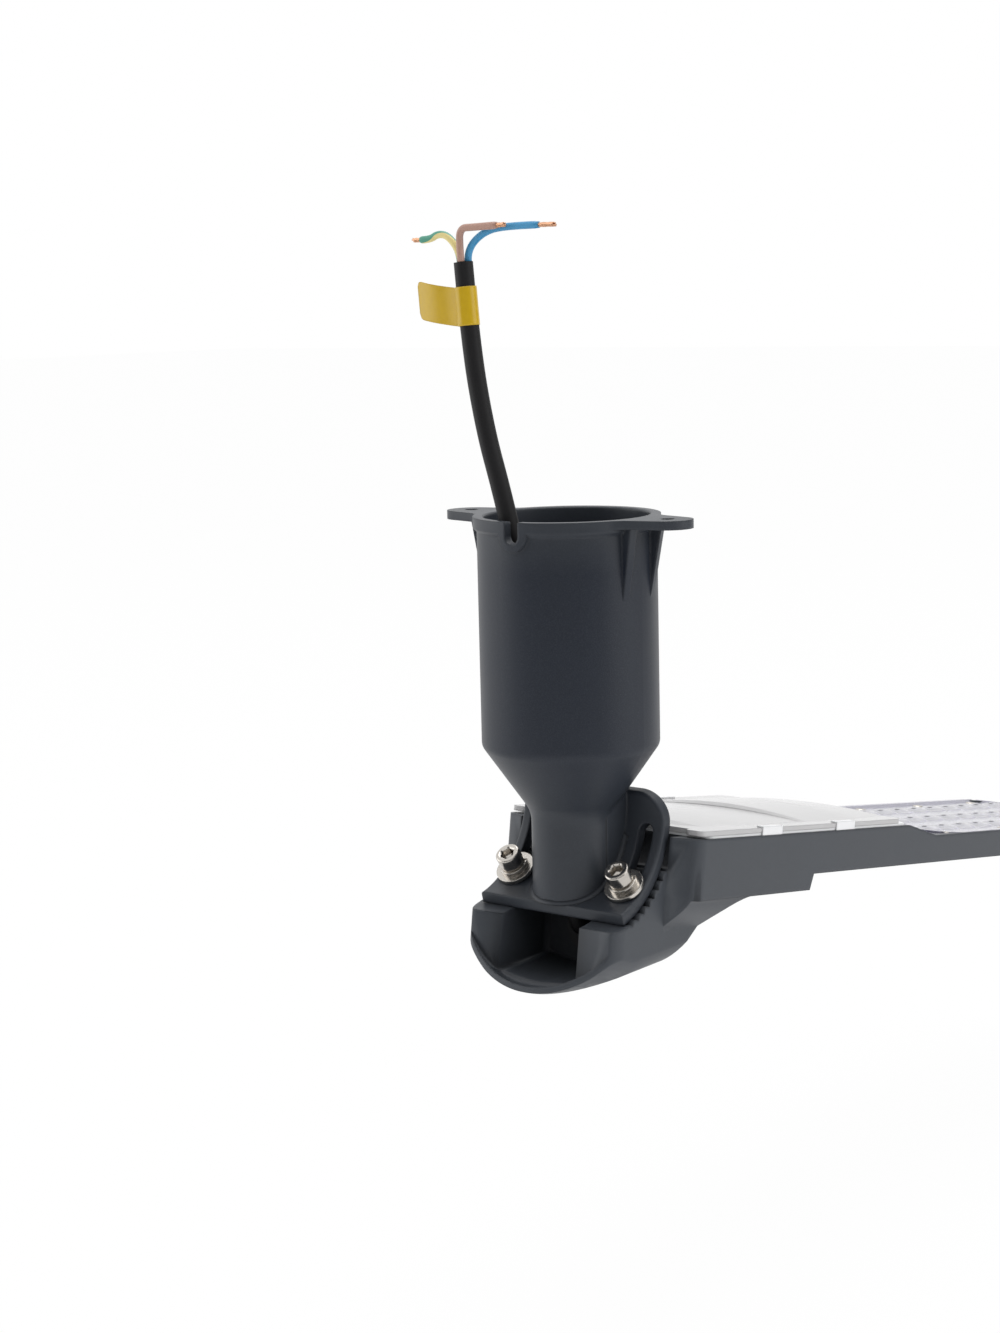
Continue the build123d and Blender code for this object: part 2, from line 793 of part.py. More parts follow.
save("led_driver", on_head(led_driver()))
foot_top = bay_floor + seat_gap + driver_foot_t + seat_gap
driver_screw = small_screw(foot_top - bay_floor + thread_depth - 0.2)
driver_screws = [on_head(Pos(x, y, foot_top) * driver_screw) for x, y in driver_screw_places]
save("driver_screws", Compound(children=driver_screws))
save("terminal_block", on_head(terminal_block()))
save("surge_protector", on_head(surge_protector()))
save("earth_screw", on_head(Pos(earth_x, earth_s, deep_floor + seat_gap) * small_screw(thread_depth - 0.2)))
save("wall_grommet", on_head(wall_grommet()))
save("vent_plug", on_head(vent_plug()))


# Lamp parts

board_low = bay_floor + seat_gap
board_top = board_low + board_t
lens_half = half_w - head_wall - 2 * lens_panel_gap
lens_s1 = head_end_s - head_wall - 2 * lens_panel_gap
lens_low = lens_top - lens_panel_t
lens_places = [
    (column * lens_pitch_x, lens_first_s + row * lens_pitch_s)
    for column in (-1, 0, 1)
    for row in range(lens_rows)
]


def led_board():
    """The circuit board with its screw holes."""
    board = rounded_box(-lens_half, lens_half, board_s0, lens_s1, board_low, board_top, front_round - 4)
    for x, y in lens_screw_places:
        board -= Pos(x, y, 0) * disc(small_screw_d / 2 + hole_gap, board_low - 1, board_top + 1)
    return board


def led_chips():
    """One light package under every lens."""
    chip = box(-chip_size / 2, chip_size / 2, -chip_size / 2, chip_size / 2, board_top, board_top + chip_t)
    return Compound(children=[on_head(Pos(x, y, 0) * chip) for x, y in lens_places])


def lens_panel():
    """The moulded lens panel on its skirt."""
    panel = rounded_box(-lens_half, lens_half, lens_s0, lens_s1, board_top + seat_gap, lens_top, front_round - 4)
    inner_half = lens_half - lens_skirt_w
    inner = rounded_box(
        -inner_half,
        inner_half,
        lens_s0 + lens_skirt_w,
        lens_s1 - lens_skirt_w,
        board_top - 1,
        lens_low,
        front_round - 6,
    )
    panel -= inner
    cap_r = (lens_r**2 + lens_rise**2) / (2 * lens_rise)
    cap = Pos(0, 0, lens_top + lens_rise - cap_r) * Sphere(cap_r) & disc(lens_r + 1, lens_top - 0.5, lens_top + 9)
    cap -= Pos(0, 0, lens_top + lens_rise + lens_dimple_r * 0.6) * Sphere(lens_dimple_r)
    for x, y in lens_places:
        panel += Pos(x, y, 0) * cap
    for x, y in lens_screw_places:
        panel += Pos(x, y, 0) * disc(small_head_d / 2 + 1, board_top + seat_gap, lens_low + 0.5)
        panel -= Pos(x, y, 0) * disc(small_screw_d / 2 + hole_gap, board_top - 1, lens_top + 1)
    return panel


save("led_board", on_head(led_board()))
save("led_chips", led_chips())
save("lens_panel", on_head(lens_panel()))
lens_head_h = lens_top + seat_gap
lens_screw = small_screw(lens_head_h - bay_floor + thread_depth - 0.2)
save("lens_screws", Compound(children=[on_head(Pos(x, y, lens_head_h) * lens_screw) for x, y in lens_screw_places]))
connector = rounded_box(lead_x - 5, lead_x + 5, board_s0 + 1, lens_s0 - 1.5, board_top, lead_h + 2.4, 1)
save("board_connector", on_head(connector))


# Cords

def head_point(x, y, z):
    """A point of the head's own frame in the resting frame."""
    return (x, y * turn_cos + z * turn_sin, rim_z - y * turn_sin + z * turn_cos)


entry = head_point(0, cable_bay_back_s - grommet_lip - seat_gap, grommet_h)
loop_corner_z = entry[2] + entry[1] * turn_sin / turn_cos

cable_route = [
    (-26.5, -26.8, 97.1),
    (-23.85, -26.8, 65.6),
    (-17.8, -26.8, 33.8),
    (-10.8, -26.6, 11.1),
    (-5.0, -26.0, -12.0),
    (-4.0, -21.5, -38.0),
    (-2.5, -14.0, -65.0),
    (-1.0, -5.0, -95.0),
    (0, 0, -121.0),
    (0, 0, neck_end_z),
]
save("supply_cable", tube(cable_route, cable_d))
save("cable_loop", tube([(0, 0, neck_end_z), (0, 0, loop_corner_z), entry], cable_d, [loop_r]))
save("neck_bush", Pos(0, 0, 0) * ring(2 * (neck_bore_r - seat_gap), cable_d, -140.0, -134.0))

inner_route = [
    (0, cable_bay_back_s - grommet_lip - seat_gap, grommet_h),
    (0, cable_bay_back_s + 8.5, grommet_h),
    (terminal_x * 0.22, cable_bay_back_s + 19, grommet_h + 10),
    (terminal_x * 0.7, terminal_s - 23, lead_in_h - 3),
    (terminal_x, terminal_s - 11, lead_in_h),
    (terminal_x, terminal_s, lead_in_h),
]
save("inner_lead", on_head(tube(inner_route, cable_d)))
lead_in_route = [
    (terminal_x, terminal_s + terminal_l, lead_in_h),
    (terminal_x, terminal_s + terminal_l + 7, lead_in_h),
    (lead_x, driver_s - 8, driver_lead_h),
    (lead_x, driver_s, driver_lead_h),
]
save("lead_in", on_head(tube(lead_in_route, lead_in_d)))
lead_out_route = [(lead_x, driver_s + driver_l, lead_h), (lead_x, board_s0 + 1, lead_h)]
save("lead_out", on_head(tube(lead_out_route, lead_out_d)))

cable_top = Vector(*cable_route[0])
cable_way = (cable_top - Vector(*cable_route[1])).normalized()
core_routes = {
    "earth_core": (-1.9, 0.6, [(-34.2, -26.2, 107.3), (-39.2, -26.2, 108.0), (-43.0, -26.2, 106.0), (-47.6, -26.2, 106.0)]),
    "live_core": (0.5, -2.0, [(-26.4, -28.8, 109.8), (-19.5, -28.8, 109.9), (-8.4, -28.8, 110.3)]),
    "neutral_core": (1.4, 1.3, [(-17.5, -25.5, 108.2), (-6.5, -25.5, 110.0), (9.0, -25.5, 109.9)]),
}
strands = []
for name, (step_x, step_y, points) in core_routes.items():
    start = cable_top + Vector(step_x, step_y, 0) - cable_way * (step_x * cable_way.X)
    first = start + cable_way * core_straight
    route = [tuple(start), tuple(first), *points]
    save(name, tube(route, core_d, core_radii[name]))
    end = Vector(*points[-1])
    way = (end - Vector(*points[-2])).normalized()
    strands.append(Plane(origin=end, z_dir=way) * disc(strand_d / 2, 0, strand_lengths[name]))
save("core_strands", Compound(children=strands))


def cable_tag():
    """A band round the cable with a flag folded out to one side."""
    frame = Plane(origin=cable_top - cable_way * tag_top, x_dir=(1, 0, 0.08), z_dir=cable_way)
    inner = cable_d / 2 + 0.1
    band = disc(inner + tag_t, -tag_length, 0) - disc(inner, -tag_length - 1, 1)
    flag = Pos(-tag_flag / 2 - inner, 0, -tag_length / 2) * Rot(0, 12, 0) * Box(tag_flag, 2 * tag_t, tag_length)
    flag -= disc(inner, -2 * tag_length, tag_length)
    return frame * (band + flag)


save("cable_tag", cable_tag())
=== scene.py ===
# %% [markdown]
# # A street light head on its tilting pole socket
# The object is a slim LED street light head. A die-cast socket slips over the end of a pole, a curved plate
# under it is clamped to the toothed seat of the lamp head by two socket head screws, and the supply cable
# comes up through the socket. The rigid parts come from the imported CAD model. This lesson adds the camera,
# the light and the finishes, and the parts that are better made here: the casting's smooth rear, the lens
# panel, the cable with its cores, copper and tag, the fillet at the neck's foot, and the two screws.

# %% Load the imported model
import math

import bmesh
import bpy
import numpy as np
from mathutils import Matrix, Vector


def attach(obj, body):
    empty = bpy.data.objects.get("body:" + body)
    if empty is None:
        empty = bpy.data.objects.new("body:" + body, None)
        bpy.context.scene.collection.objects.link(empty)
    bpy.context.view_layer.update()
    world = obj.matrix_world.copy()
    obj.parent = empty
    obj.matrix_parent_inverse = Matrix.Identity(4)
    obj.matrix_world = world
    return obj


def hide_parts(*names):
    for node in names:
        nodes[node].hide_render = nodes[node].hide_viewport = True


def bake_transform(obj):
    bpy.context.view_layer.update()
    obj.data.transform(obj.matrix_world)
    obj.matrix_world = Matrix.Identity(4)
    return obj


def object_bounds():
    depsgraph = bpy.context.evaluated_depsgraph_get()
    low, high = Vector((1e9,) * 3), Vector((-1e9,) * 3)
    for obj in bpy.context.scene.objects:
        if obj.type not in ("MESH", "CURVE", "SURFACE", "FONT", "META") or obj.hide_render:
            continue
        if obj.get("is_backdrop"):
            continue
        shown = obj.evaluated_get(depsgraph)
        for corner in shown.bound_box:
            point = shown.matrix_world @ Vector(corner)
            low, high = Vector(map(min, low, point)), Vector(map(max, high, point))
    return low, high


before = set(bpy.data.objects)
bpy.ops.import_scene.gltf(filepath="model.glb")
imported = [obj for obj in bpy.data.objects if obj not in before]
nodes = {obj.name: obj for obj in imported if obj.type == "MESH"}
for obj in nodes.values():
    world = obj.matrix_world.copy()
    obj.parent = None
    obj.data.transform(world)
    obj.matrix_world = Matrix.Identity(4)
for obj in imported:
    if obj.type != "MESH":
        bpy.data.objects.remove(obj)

cad_low, cad_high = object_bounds()
print("CAD box", [round(v, 4) for v in cad_low], [round(v, 4) for v in cad_high])

# %% [markdown]
# ## The camera
# The photograph was taken from the near side, a little above the lamp head. A camera was fitted to the round
# mouth of the socket, its two ears and the straight edges of the head: where it stands, where it looks, how far
# it leans, and its focal length in pixels. A sensor 36 mm tall turns that focal length into millimetres.

# %% Camera
FOCAL_PIXELS = 2458.22
TALL_PIXELS = 1333
SENSOR = 36.0
TURN, FALL, LEAN = np.radians([38.55, 8.83, -1.36])
EYE = Vector((0.57019, -0.75911, 0.08836))


def camera_axes(turn, fall, lean):
    """Right, up and back of a camera that looks forwards, turned left, looking down and leaning."""
    ahead = Vector((-math.sin(turn) * math.cos(fall), math.cos(turn) * math.cos(fall), -math.sin(fall)))
    right = Vector((math.cos(turn), math.sin(turn), 0))
    up = right.cross(ahead)
    c, s = math.cos(lean), math.sin(lean)
    return c * right + s * up, c * up - s * right, -ahead


lens_data = bpy.data.cameras.new("camera")
lens_data.sensor_fit = "VERTICAL"
lens_data.sensor_height = SENSOR
lens_data.lens = FOCAL_PIXELS / TALL_PIXELS * SENSOR
camera = bpy.data.objects.new("camera", lens_data)
bpy.context.scene.collection.objects.link(camera)
turned = Matrix(camera_axes(TURN, FALL, LEAN)).transposed()
camera.matrix_world = Matrix.Translation(EYE) @ turned.to_4x4()
bpy.context.scene.camera = camera
bpy.context.scene.view_settings.view_transform = "Standard"
print("focal length", round(lens_data.lens, 2), "mm")

# %% [markdown]
# ## Writing materials as sums
# A material is a small network of nodes. Wiring it by hand is long, so two helpers are used. A `Wire` is one
# socket, and plus, minus and times on it add Math nodes. `Finish.node` adds any other node: first its settings,
# then the values or wires of its sockets.

# %% Sums of sockets


class Wire:
    """One output socket of a finish. Sums, differences and products of wires add Math nodes."""

    def __init__(self, finish, socket):
        self.finish, self.socket = finish, socket

    def math(self, operation, *values):
        """A Math node on these values, each a number or a wire."""
        return self.finish.node("Math", {"operation": operation}, dict(enumerate(values)))

    def __add__(self, other):
        return self.math("ADD", self, other)

    def __mul__(self, other):
        return self.math("MULTIPLY", self, other)

    def __sub__(self, other):
        return self.math("SUBTRACT", self, other)

    def __rsub__(self, other):
        return self.math("SUBTRACT", other, self)

    __radd__, __rmul__ = __add__, __mul__


# %% A finish


class Finish:
    """A material that is being put together."""

    def __init__(self, name):
        self.material = bpy.data.materials.new(name)
        self.material.use_nodes = True
        self.tree = self.material.node_tree
        self.tree.nodes.clear()

    def node(self, kind, settings=None, values=None, out=0):
        """Adds a shader node, sets it up, fills its sockets, and gives back one of its outputs."""
        made = self.tree.nodes.new("ShaderNode" + kind)
        for name, value in (settings or {}).items():
            if name == "stops":
                ramp = made.color_ramp
                for i, (place, colour) in enumerate(value):
                    stop = ramp.elements[i] if i < 2 else ramp.elements.new(place)
                    stop.position, stop.color = place, (*colour, 1)
            else:
                setattr(made, name, value)
        for name, value in (values or {}).items():
            if isinstance(value, Wire):
                self.tree.links.new(value.socket, made.inputs[name])
            else:
                made.inputs[name].default_value = value
        return Wire(self, made.outputs[out])

    def place(self):
        """Object coordinates, in metres."""
        return self.node("TexCoord", out=3)

    def noise(self, scale, detail=3.0, where=None):
        """Cloudy values between 0 and 1, with this many features in a metre."""
        return self.node("TexNoise", None, {"Vector": where or self.place(), "Scale": scale, "Detail": detail})

    def ramp(self, factor, stops):
        """Colours between stops."""
        return self.node("ValToRGB", {"stops": stops}, {"Fac": factor})

    def blend(self, factor, first, second):
        """Two colours mixed by a factor."""
        colours = {0: factor, 6: first if isinstance(first, Wire) else (*first, 1),
                   7: second if isinstance(second, Wire) else (*second, 1)}
        return self.node("Mix", {"data_type": "RGBA"}, colours, out=2)

    def tinted(self, colour, share):
        """A colour made darker or lighter by a share."""
        return self.node("VectorMath", {"operation": "SCALE"}, {"Vector": colour, "Scale": share})

    def bump(self, height, depth, strength=1.0, normal=None):
        """A normal tilted by a height, its full range being this depth in metres."""
        values = {"Height": height, "Distance": depth, "Strength": strength}
        if normal is not None:
            values["Normal"] = normal
        return self.node("Bump", None, values)

    def done(self, **sockets):
        """The Principled shader with these sockets, named by their words joined with underscores."""
        values = {name.replace("_", " "): value for name, value in sockets.items()}
        values = {name: (*v, 1) if isinstance(v, tuple) and len(v) == 3 else v for name, v in values.items()}
        self.node_out(self.node("BsdfPrincipled", None, values))
        return self.material

    def node_out(self, shader):
        """Leads a shader to the material's surface."""
        out = self.tree.nodes.new("ShaderNodeOutputMaterial")
        self.tree.links.new(shader.socket, out.inputs["Surface"])


# %% Dressing a piece


def wear(piece, material):
    """Puts one material on an object."""
    piece.data.materials.clear()
    piece.data.materials.append(material)
    return piece


# %% [markdown]
# ## Light, floor and background
# The photograph has soft light from all sides and a bright white background. The world gives an even glow, and
# three large soft lamps give the casting its shape: one from the right, a weaker one from the left, and the
# strongest from above. The camera and mirror-like surfaces see white, whatever the glow.

# %% World
GLOW = 0.68
world = bpy.data.worlds.new("studio")
bpy.context.scene.world = world
world.use_nodes = True
links, made = world.node_tree.links, world.node_tree.nodes
made.clear()
path = made.new("ShaderNodeLightPath")
seen = made.new("ShaderNodeMath")
seen.operation = "MAXIMUM"
seen_too = made.new("ShaderNodeMath")
seen_too.operation = "MAXIMUM"
links.new(path.outputs["Is Camera Ray"], seen.inputs[0])
links.new(path.outputs["Is Glossy Ray"], seen.inputs[1])
links.new(seen.outputs[0], seen_too.inputs[0])
links.new(path.outputs["Is Transmission Ray"], seen_too.inputs[1])
glow, white = made.new("ShaderNodeBackground"), made.new("ShaderNodeBackground")
glow.inputs["Strength"].default_value = GLOW
white.inputs["Strength"].default_value = 1.0
for light in (glow, white):
    light.inputs["Color"].default_value = (1, 1, 1, 1)
both, out = made.new("ShaderNodeMixShader"), made.new("ShaderNodeOutputWorld")
links.new(seen_too.outputs[0], both.inputs[0])
links.new(glow.outputs[0], both.inputs[1])
links.new(white.outputs[0], both.inputs[2])
links.new(both.outputs[0], out.inputs["Surface"])
print("world glow", GLOW)

# %% Lamps


def soft_lamp(name, place, size, power):
    """A square lamp of this size at a place, turned to the middle of the object."""
    data = bpy.data.lights.new(name, "AREA")
    data.shape, data.size, data.energy = "SQUARE", size, power
    lamp = bpy.data.objects.new(name, data)
    bpy.context.scene.collection.objects.link(lamp)
    lamp.location = place
    lamp.rotation_euler = (Vector((0, 0.1, -0.08)) - Vector(place)).to_track_quat("-Z", "Y").to_euler()
    return lamp


soft_lamp("lamp_right", (1.9, 0.7, 0.35), 1.6, 13)
soft_lamp("lamp_left", (-1.7, -0.9, 0.5), 1.4, 7)
soft_lamp("lamp_top", (-0.2, 0.5, 2.0), 1.6, 24)

# %% [markdown]
# ## A dark card in front
# A dark thing in a white room reflects white all over and looks pale. A photographer stands black card beside the
# camera, so that the side that faces it stays deep and only the edges catch the light. The card here is bent
# round the object at the camera's side, and only the rays that reflect from a glossy surface see it.

# %% Dark card
CARD_R, CARD_STEPS = 2.4, 24


def dark_card(name, middle, half, low, high):
    """An upright sheet bent round the object: radius times cosine and sine of an angle, by a height."""
    angle = np.radians(np.linspace(middle - half, middle + half, CARD_STEPS))
    ring = np.stack([CARD_R * np.cos(angle), CARD_R * np.sin(angle)], -1)
    points = [(x, y, z) for z in (low, high) for x, y in ring.tolist()]
    faces = [(i, i + 1, i + 1 + CARD_STEPS, i + CARD_STEPS) for i in range(CARD_STEPS - 1)]
    mesh = bpy.data.meshes.new(name)
    mesh.from_pydata(points, [], faces)
    card = bpy.data.objects.new(name, mesh)
    bpy.context.scene.collection.objects.link(card)
    for kind in ("camera", "diffuse", "transmission", "volume_scatter", "shadow"):
        setattr(card, "visible_" + kind, False)
    return card


felt = Finish("black_felt")
felt.node_out(felt.node("BsdfDiffuse", None, {"Color": (0.03, 0.03, 0.03, 1)}))
wear(dark_card("card_front", -27, 99, -0.25, 1.5), felt.material)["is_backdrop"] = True
print("card at", CARD_R, "m")

# %% [markdown]
# ## The floor
# The object hangs in front of white paper, which is far enough below to take only a faint shadow. Its own white
# is mixed in for the rays that come from the camera, or that metal and glass reflect or pass, and the small rest
# of the mix is plain paper, where the shadow shows.

# %% Floor
FLOOR_Z, FLOOR_HALF, OWN_WHITE = -0.32, 12, 0.97
corners = [(x * FLOOR_HALF, y * FLOOR_HALF, FLOOR_Z) for x, y in ((-1, -1), (1, -1), (1, 1), (-1, 1))]
floor_mesh = bpy.data.meshes.new("floor")
floor_mesh.from_pydata(corners, [], [(0, 1, 2, 3)])
floor = bpy.data.objects.new("floor", floor_mesh)
bpy.context.scene.collection.objects.link(floor)
pale = Finish("pale_floor")
paper = pale.node("BsdfDiffuse", None, {"Color": (0.9, 0.9, 0.9, 1)})
bright = pale.node("Emission", None, {"Color": (1, 1, 1, 1), "Strength": 1.0})
ray = pale.tree.nodes.new("ShaderNodeLightPath")
rays = [Wire(pale, ray.outputs[name]) for name in ("Is Camera Ray", "Is Glossy Ray", "Is Transmission Ray")]
share = rays[0].math("MAXIMUM", rays[0], rays[1].math("MAXIMUM", rays[1], rays[2])) * OWN_WHITE
pale.node_out(pale.node("MixShader", None, {0: share, 1: paper, 2: bright}))
wear(floor, pale.material)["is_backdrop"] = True
print("floor at", FLOOR_Z, "m")

# %% [markdown]
# ## Finishes
# The castings are aluminium with a fine-textured powder coat in dark grey. Powder coat is sprayed as dust and
# baked, so its surface has tiny rounded grains, and its gloss changes a little where the layer is thicker. A
# casting's edges are never knife sharp, so a Bevel node rounds them in the shading alone. The screws and washers
# are stainless steel. The cover and its lugs are milky plastic. Cable, leads, seals and cases are plastics and
# rubbers that reflect softly.

# %% Powder coat on the castings
COAT = (0.010, 0.0145, 0.0255)
LOW_COAT_PAINTED_LIGHT = (0.031, 0.036, 0.045)
# the head's coat is a lighter copy of the same dark grey coat, painted light
HEAD_COAT_PAINTED_LIGHT = (0.048, 0.054, 0.064)
THIN_LAYER = (0.06, 0.07, 0.085)
# painted light from below: further down the spigot's coat turns to the lighter lower colour, and its rim wears that
# colour too
FADE, FADE_START = -28.0, -2.4  # the lower colour begins 86 mm under the mouth and is full at 121 mm
RIM_FADE, RIM_START = 50.0, 1.0  # the rim has the lower colour too, and it is gone 20 mm under the mouth


def powder_coat(name, upper, lower, seed, edge, deep):
    """Grains a third of a millimetre wide, and slow clouds in colour and gloss. The colour changes slowly from the
    upper part to the lower one, which is lighter as painted light from below, and the rim takes that lighter
    painted-light colour too; corners and recesses are darkened down to the share called deep, which is painted shade,
    and every edge is rounded by this radius."""
    coat = Finish(name)
    spot = coat.node("Mapping", None, {"Vector": coat.place(), "Location": (seed, 0, 0)})
    grain = coat.noise(2600, 2.0, spot)
    cloud = coat.noise(28, 3.0, spot)
    fine = coat.noise(300, 2.0, spot)
    height = coat.node("SeparateXYZ", None, {0: coat.place()}, out=2)
    # painted light: the colour runs from the upper coat to the lighter lower one, and to the lighter one again on the
    # rim
    colour = coat.blend(height * FADE + FADE_START, coat.blend(height * RIM_FADE + RIM_START, upper, lower), lower)
    shade = coat.blend(cloud * 0.7 + fine * 0.3, coat.tinted(colour, 0.84), coat.tinted(colour, 1.2))
    tone = coat.blend(coat.ramp(grain, [(0.45, (0, 0, 0)), (0.75, (1, 1, 1))]) * 0.22, shade, THIN_LAYER)
    # painted shade: corners, recesses and the cable bay are darkened by ambient occlusion, down to the share deep
    painted_shade_occlusion = coat.node("AmbientOcclusion", {"samples": 8}, {"Distance": 0.035}, out=1)
    tone = coat.blend(coat.ramp(painted_shade_occlusion, [(0.25, (0.16, 0.16, 0.16)), (0.8, (1, 1, 1))]),
                      coat.tinted(colour, deep), tone)
    soft_edge = coat.node("Bevel", {"samples": 6}, {"Radius": edge})
    relief = coat.bump(grain, 0.00006, 0.35, soft_edge)
    return coat.done(Base_Color=tone, Roughness=cloud * 0.12 + 0.36, Normal=relief, Specular_IOR_Level=0.36)


# the last number of each coat is the share of its colour that painted shade leaves in corners
spigot_coat = powder_coat("spigot_powder_coat", COAT, LOW_COAT_PAINTED_LIGHT, 0.0, 0.0014, 0.8)
head_coat = powder_coat("head_powder_coat", HEAD_COAT_PAINTED_LIGHT, HEAD_COAT_PAINTED_LIGHT, 3.0, 0.002, 0.25)
wear(nodes["pole_spigot"], spigot_coat)
wear(nodes["head_housing"], head_coat)
print("castings coated")

# %% Stainless steel and copper


def metal(name, colour, rough, scratch):
    """A bare metal whose fine marks, this many in a metre, change its gloss."""
    bare = Finish(name)
    lines = bare.noise(scratch)
    cloud = bare.noise(140, 2.0)
    tone = bare.blend(cloud, tuple(c * 0.88 for c in colour), tuple(min(1, c * 1.08) for c in colour))
    relief = bare.bump(lines, 0.000006, 0.2, bare.node("Bevel", {"samples": 4}, {"Radius": 0.0005}))
    return bare.done(Base_Color=tone, Roughness=lines * 0.16 + rough, Metallic=1.0, Normal=relief)


steel = metal("stainless_steel", (0.56, 0.53, 0.49), 0.12, 2200)
washer_steel = metal("washer_steel", (0.60, 0.57, 0.53), 0.16, 1500)
copper = metal("bare_copper", (0.78, 0.44, 0.27), 0.22, 3000)
for name in ("driver_screws", "lens_screws", "earth_screw"):
    wear(nodes[name], steel)
for name in ("spring_washers", "flat_washers"):
    wear(nodes[name], washer_steel)
print("metals", steel.name, washer_steel.name, copper.name)

# %% Milky plastics


def milky_plastic(name, colour, clear, rough):
    """Cloudy plastic that lets some light through."""
    milk = Finish(name)
    cloud = milk.noise(35, 3.0)
    skin = milk.noise(900, 2.0)
    tone = milk.blend(cloud, tuple(c * 0.95 for c in colour), colour)
    relief = milk.bump(skin, 0.00002, 0.2, milk.node("Bevel", {"samples": 4}, {"Radius": 0.0008}))
    return milk.done(Base_Color=tone, Roughness=cloud * 0.08 + rough, Normal=relief, IOR=1.49,
                     Transmission_Weight=clear)


cover_milk = milky_plastic("milky_cover", (0.60, 0.595, 0.60), 0.2, 0.10)
lug_white = milky_plastic("lug_white", (0.86, 0.865, 0.88), 0.05, 0.32)
wear(nodes["driver_cover"], cover_milk)
wear(nodes["cover_clips"], lug_white)
wear(nodes["lens_panel"], lug_white)
print("milky plastics", cover_milk.name, lug_white.name)

# %% Moulded plastics and rubber


def moulded(name, colour, rough, grain=900, spread=0.08, level=0.5):
    """Plastic or rubber with a fine skin and a slow change of tone."""
    skin = Finish(name)
    cloud, fine = skin.noise(60, 3.0), skin.noise(grain, 2.0)
    low = tuple(c * (1 - spread) for c in colour)
    high = tuple(min(1, c * (1 + spread)) for c in colour)
    relief = skin.bump(fine, 0.00004, 0.25)
    return skin.done(Base_Color=skin.blend(cloud, low, high), Roughness=fine * 0.12 + rough, Normal=relief,
                     Specular_IOR_Level=level)


sheath = moulded("cable_sheath", (0.010, 0.0095, 0.0105), 0.5, 700, 0.2, level=0.3)
black_rubber = moulded("black_rubber", (0.02, 0.02, 0.022), 0.6, 1200)
white_rubber = moulded("seal_silicone", (0.78, 0.79, 0.80), 0.5)
driver_white = moulded("driver_case", (0.74, 0.75, 0.74), 0.4)
terminal_white = moulded("terminal_plastic", (0.80, 0.79, 0.74), 0.38)
surge_black = moulded("surge_case", (0.03, 0.032, 0.038), 0.45)
lead_white = moulded("lead_sheath", (0.76, 0.76, 0.77), 0.45)
for name, material in {
    "neck_bush": black_rubber, "wall_grommet": black_rubber, "vent_plug": black_rubber, "cover_gasket": white_rubber,
    "led_driver": driver_white, "terminal_block": terminal_white, "board_connector": terminal_white,
    "surge_protector": surge_black, "lead_in": lead_white, "lead_out": lead_white, "inner_lead": sheath,
}.items():
    wear(nodes[name], material)
print("sheath and case plastics", sheath.name, driver_white.name)

# %% Circuit board and light packages
board = Finish("board_mask")
mask = board.noise(500, 2.0)
tracks = board.node("TexBrick", {"offset": 0.5}, {
    "Vector": board.place(), "Scale": 24.0, "Mortar Size": 0.012, "Brick Width": 0.6, "Row Height": 0.4,
    "Color1": (0.80, 0.81, 0.83, 1), "Color2": (0.77, 0.78, 0.80, 1), "Mortar": (0.62, 0.63, 0.66, 1)})
wear(nodes["led_board"], board.done(Base_Color=tracks, Roughness=mask * 0.2 + 0.35,
                                    Normal=board.bump(mask, 0.00003, 0.3)))
phosphor = Finish("chip_phosphor")
wear(nodes["led_chips"], phosphor.done(
    Base_Color=phosphor.ramp(phosphor.noise(900, 3.0), [(0.35, (0.82, 0.62, 0.08)), (0.65, (0.9, 0.76, 0.2))]),
    Roughness=0.35))
print("finishes on", sum(1 for n in nodes.values() if n.data.materials), "CAD nodes")

# %% [markdown]
# ## The head casting's smooth rear
# A die casting has no sharp outer corners: the wide body flows into the deep rear in one haunch, the posts' corners
# are round, and the floor of the cable bay ends in a thin rim that follows the bowl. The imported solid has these
# forms in plainer shapes, so a copy of it is finished here. Closed prisms with rounded outlines are cut from it or
# joined to it with Boolean modifiers, as a pattern maker files and fills. Their sizes are in millimetres of the
# head's own frame, where s runs to the front and h up from the rim.

# %% Rounded outlines
HEAD_TILT, RIM_Z = np.radians(8.7), -0.124


def rounded(outline, radii, steps=9):
    """An outline in metres whose corners are arcs that touch both sides: each arc starts at radius / tan(half the
    angle) from its corner, and its points turn from the first touch to the last at an even rate."""
    points = []
    for i, radius in enumerate(radii):
        before, corner, after = (np.array(outline[(i + k) % len(outline)], float) for k in (-1, 0, 1))
        if radius == 0:
            points.append(corner[None])
            continue
        u, v = before - corner, after - corner
        u, v = u / np.linalg.norm(u), v / np.linalg.norm(v)
        half = np.arccos(np.clip(u @ v, -1, 1)) / 2
        middle = corner + (u + v) / np.linalg.norm(u + v) * radius / np.sin(half)
        first = corner + u * radius / np.tan(half) - middle
        last = corner + v * radius / np.tan(half) - middle
        share = np.linspace(0, 1, steps)[:, None]
        spread = np.pi - 2 * half
        swung = np.sin((1 - share) * spread) * first + np.sin(share * spread) * last
        points.append(middle + swung / np.sin(spread))
    return np.vstack(points) * 0.001


# %% Prisms


def in_row(points):
    """Points of the head's own frame brought to its place at rest: turned down about X, then moved to the rim."""
    c, t = np.cos(HEAD_TILT), np.sin(HEAD_TILT)
    x, y, z = np.moveaxis(points, -1, 0)
    return np.stack([x, y * c + z * t, z * c - y * t + RIM_Z], -1)


def prism(outline, low, high, axis, place):
    """A closed solid: an outline at two places along an axis, in millimetres, joined by flat sides and then set in
    its place in the object."""
    n = len(outline)
    ends = [np.insert(outline, axis, at * 0.001, axis=1) for at in (low, high)]
    faces = [(i, (i + 1) % n, (i + 1) % n + n, i + n) for i in range(n)]
    mesh = bpy.data.meshes.new("prism")
    mesh.from_pydata(place(np.vstack(ends)).tolist(), [], faces + [tuple(range(n))[::-1], tuple(range(n, 2 * n))])
    solid = bpy.data.objects.new("prism", mesh)
    bpy.context.scene.collection.objects.link(solid)
    return merged(solid, 1e-7)


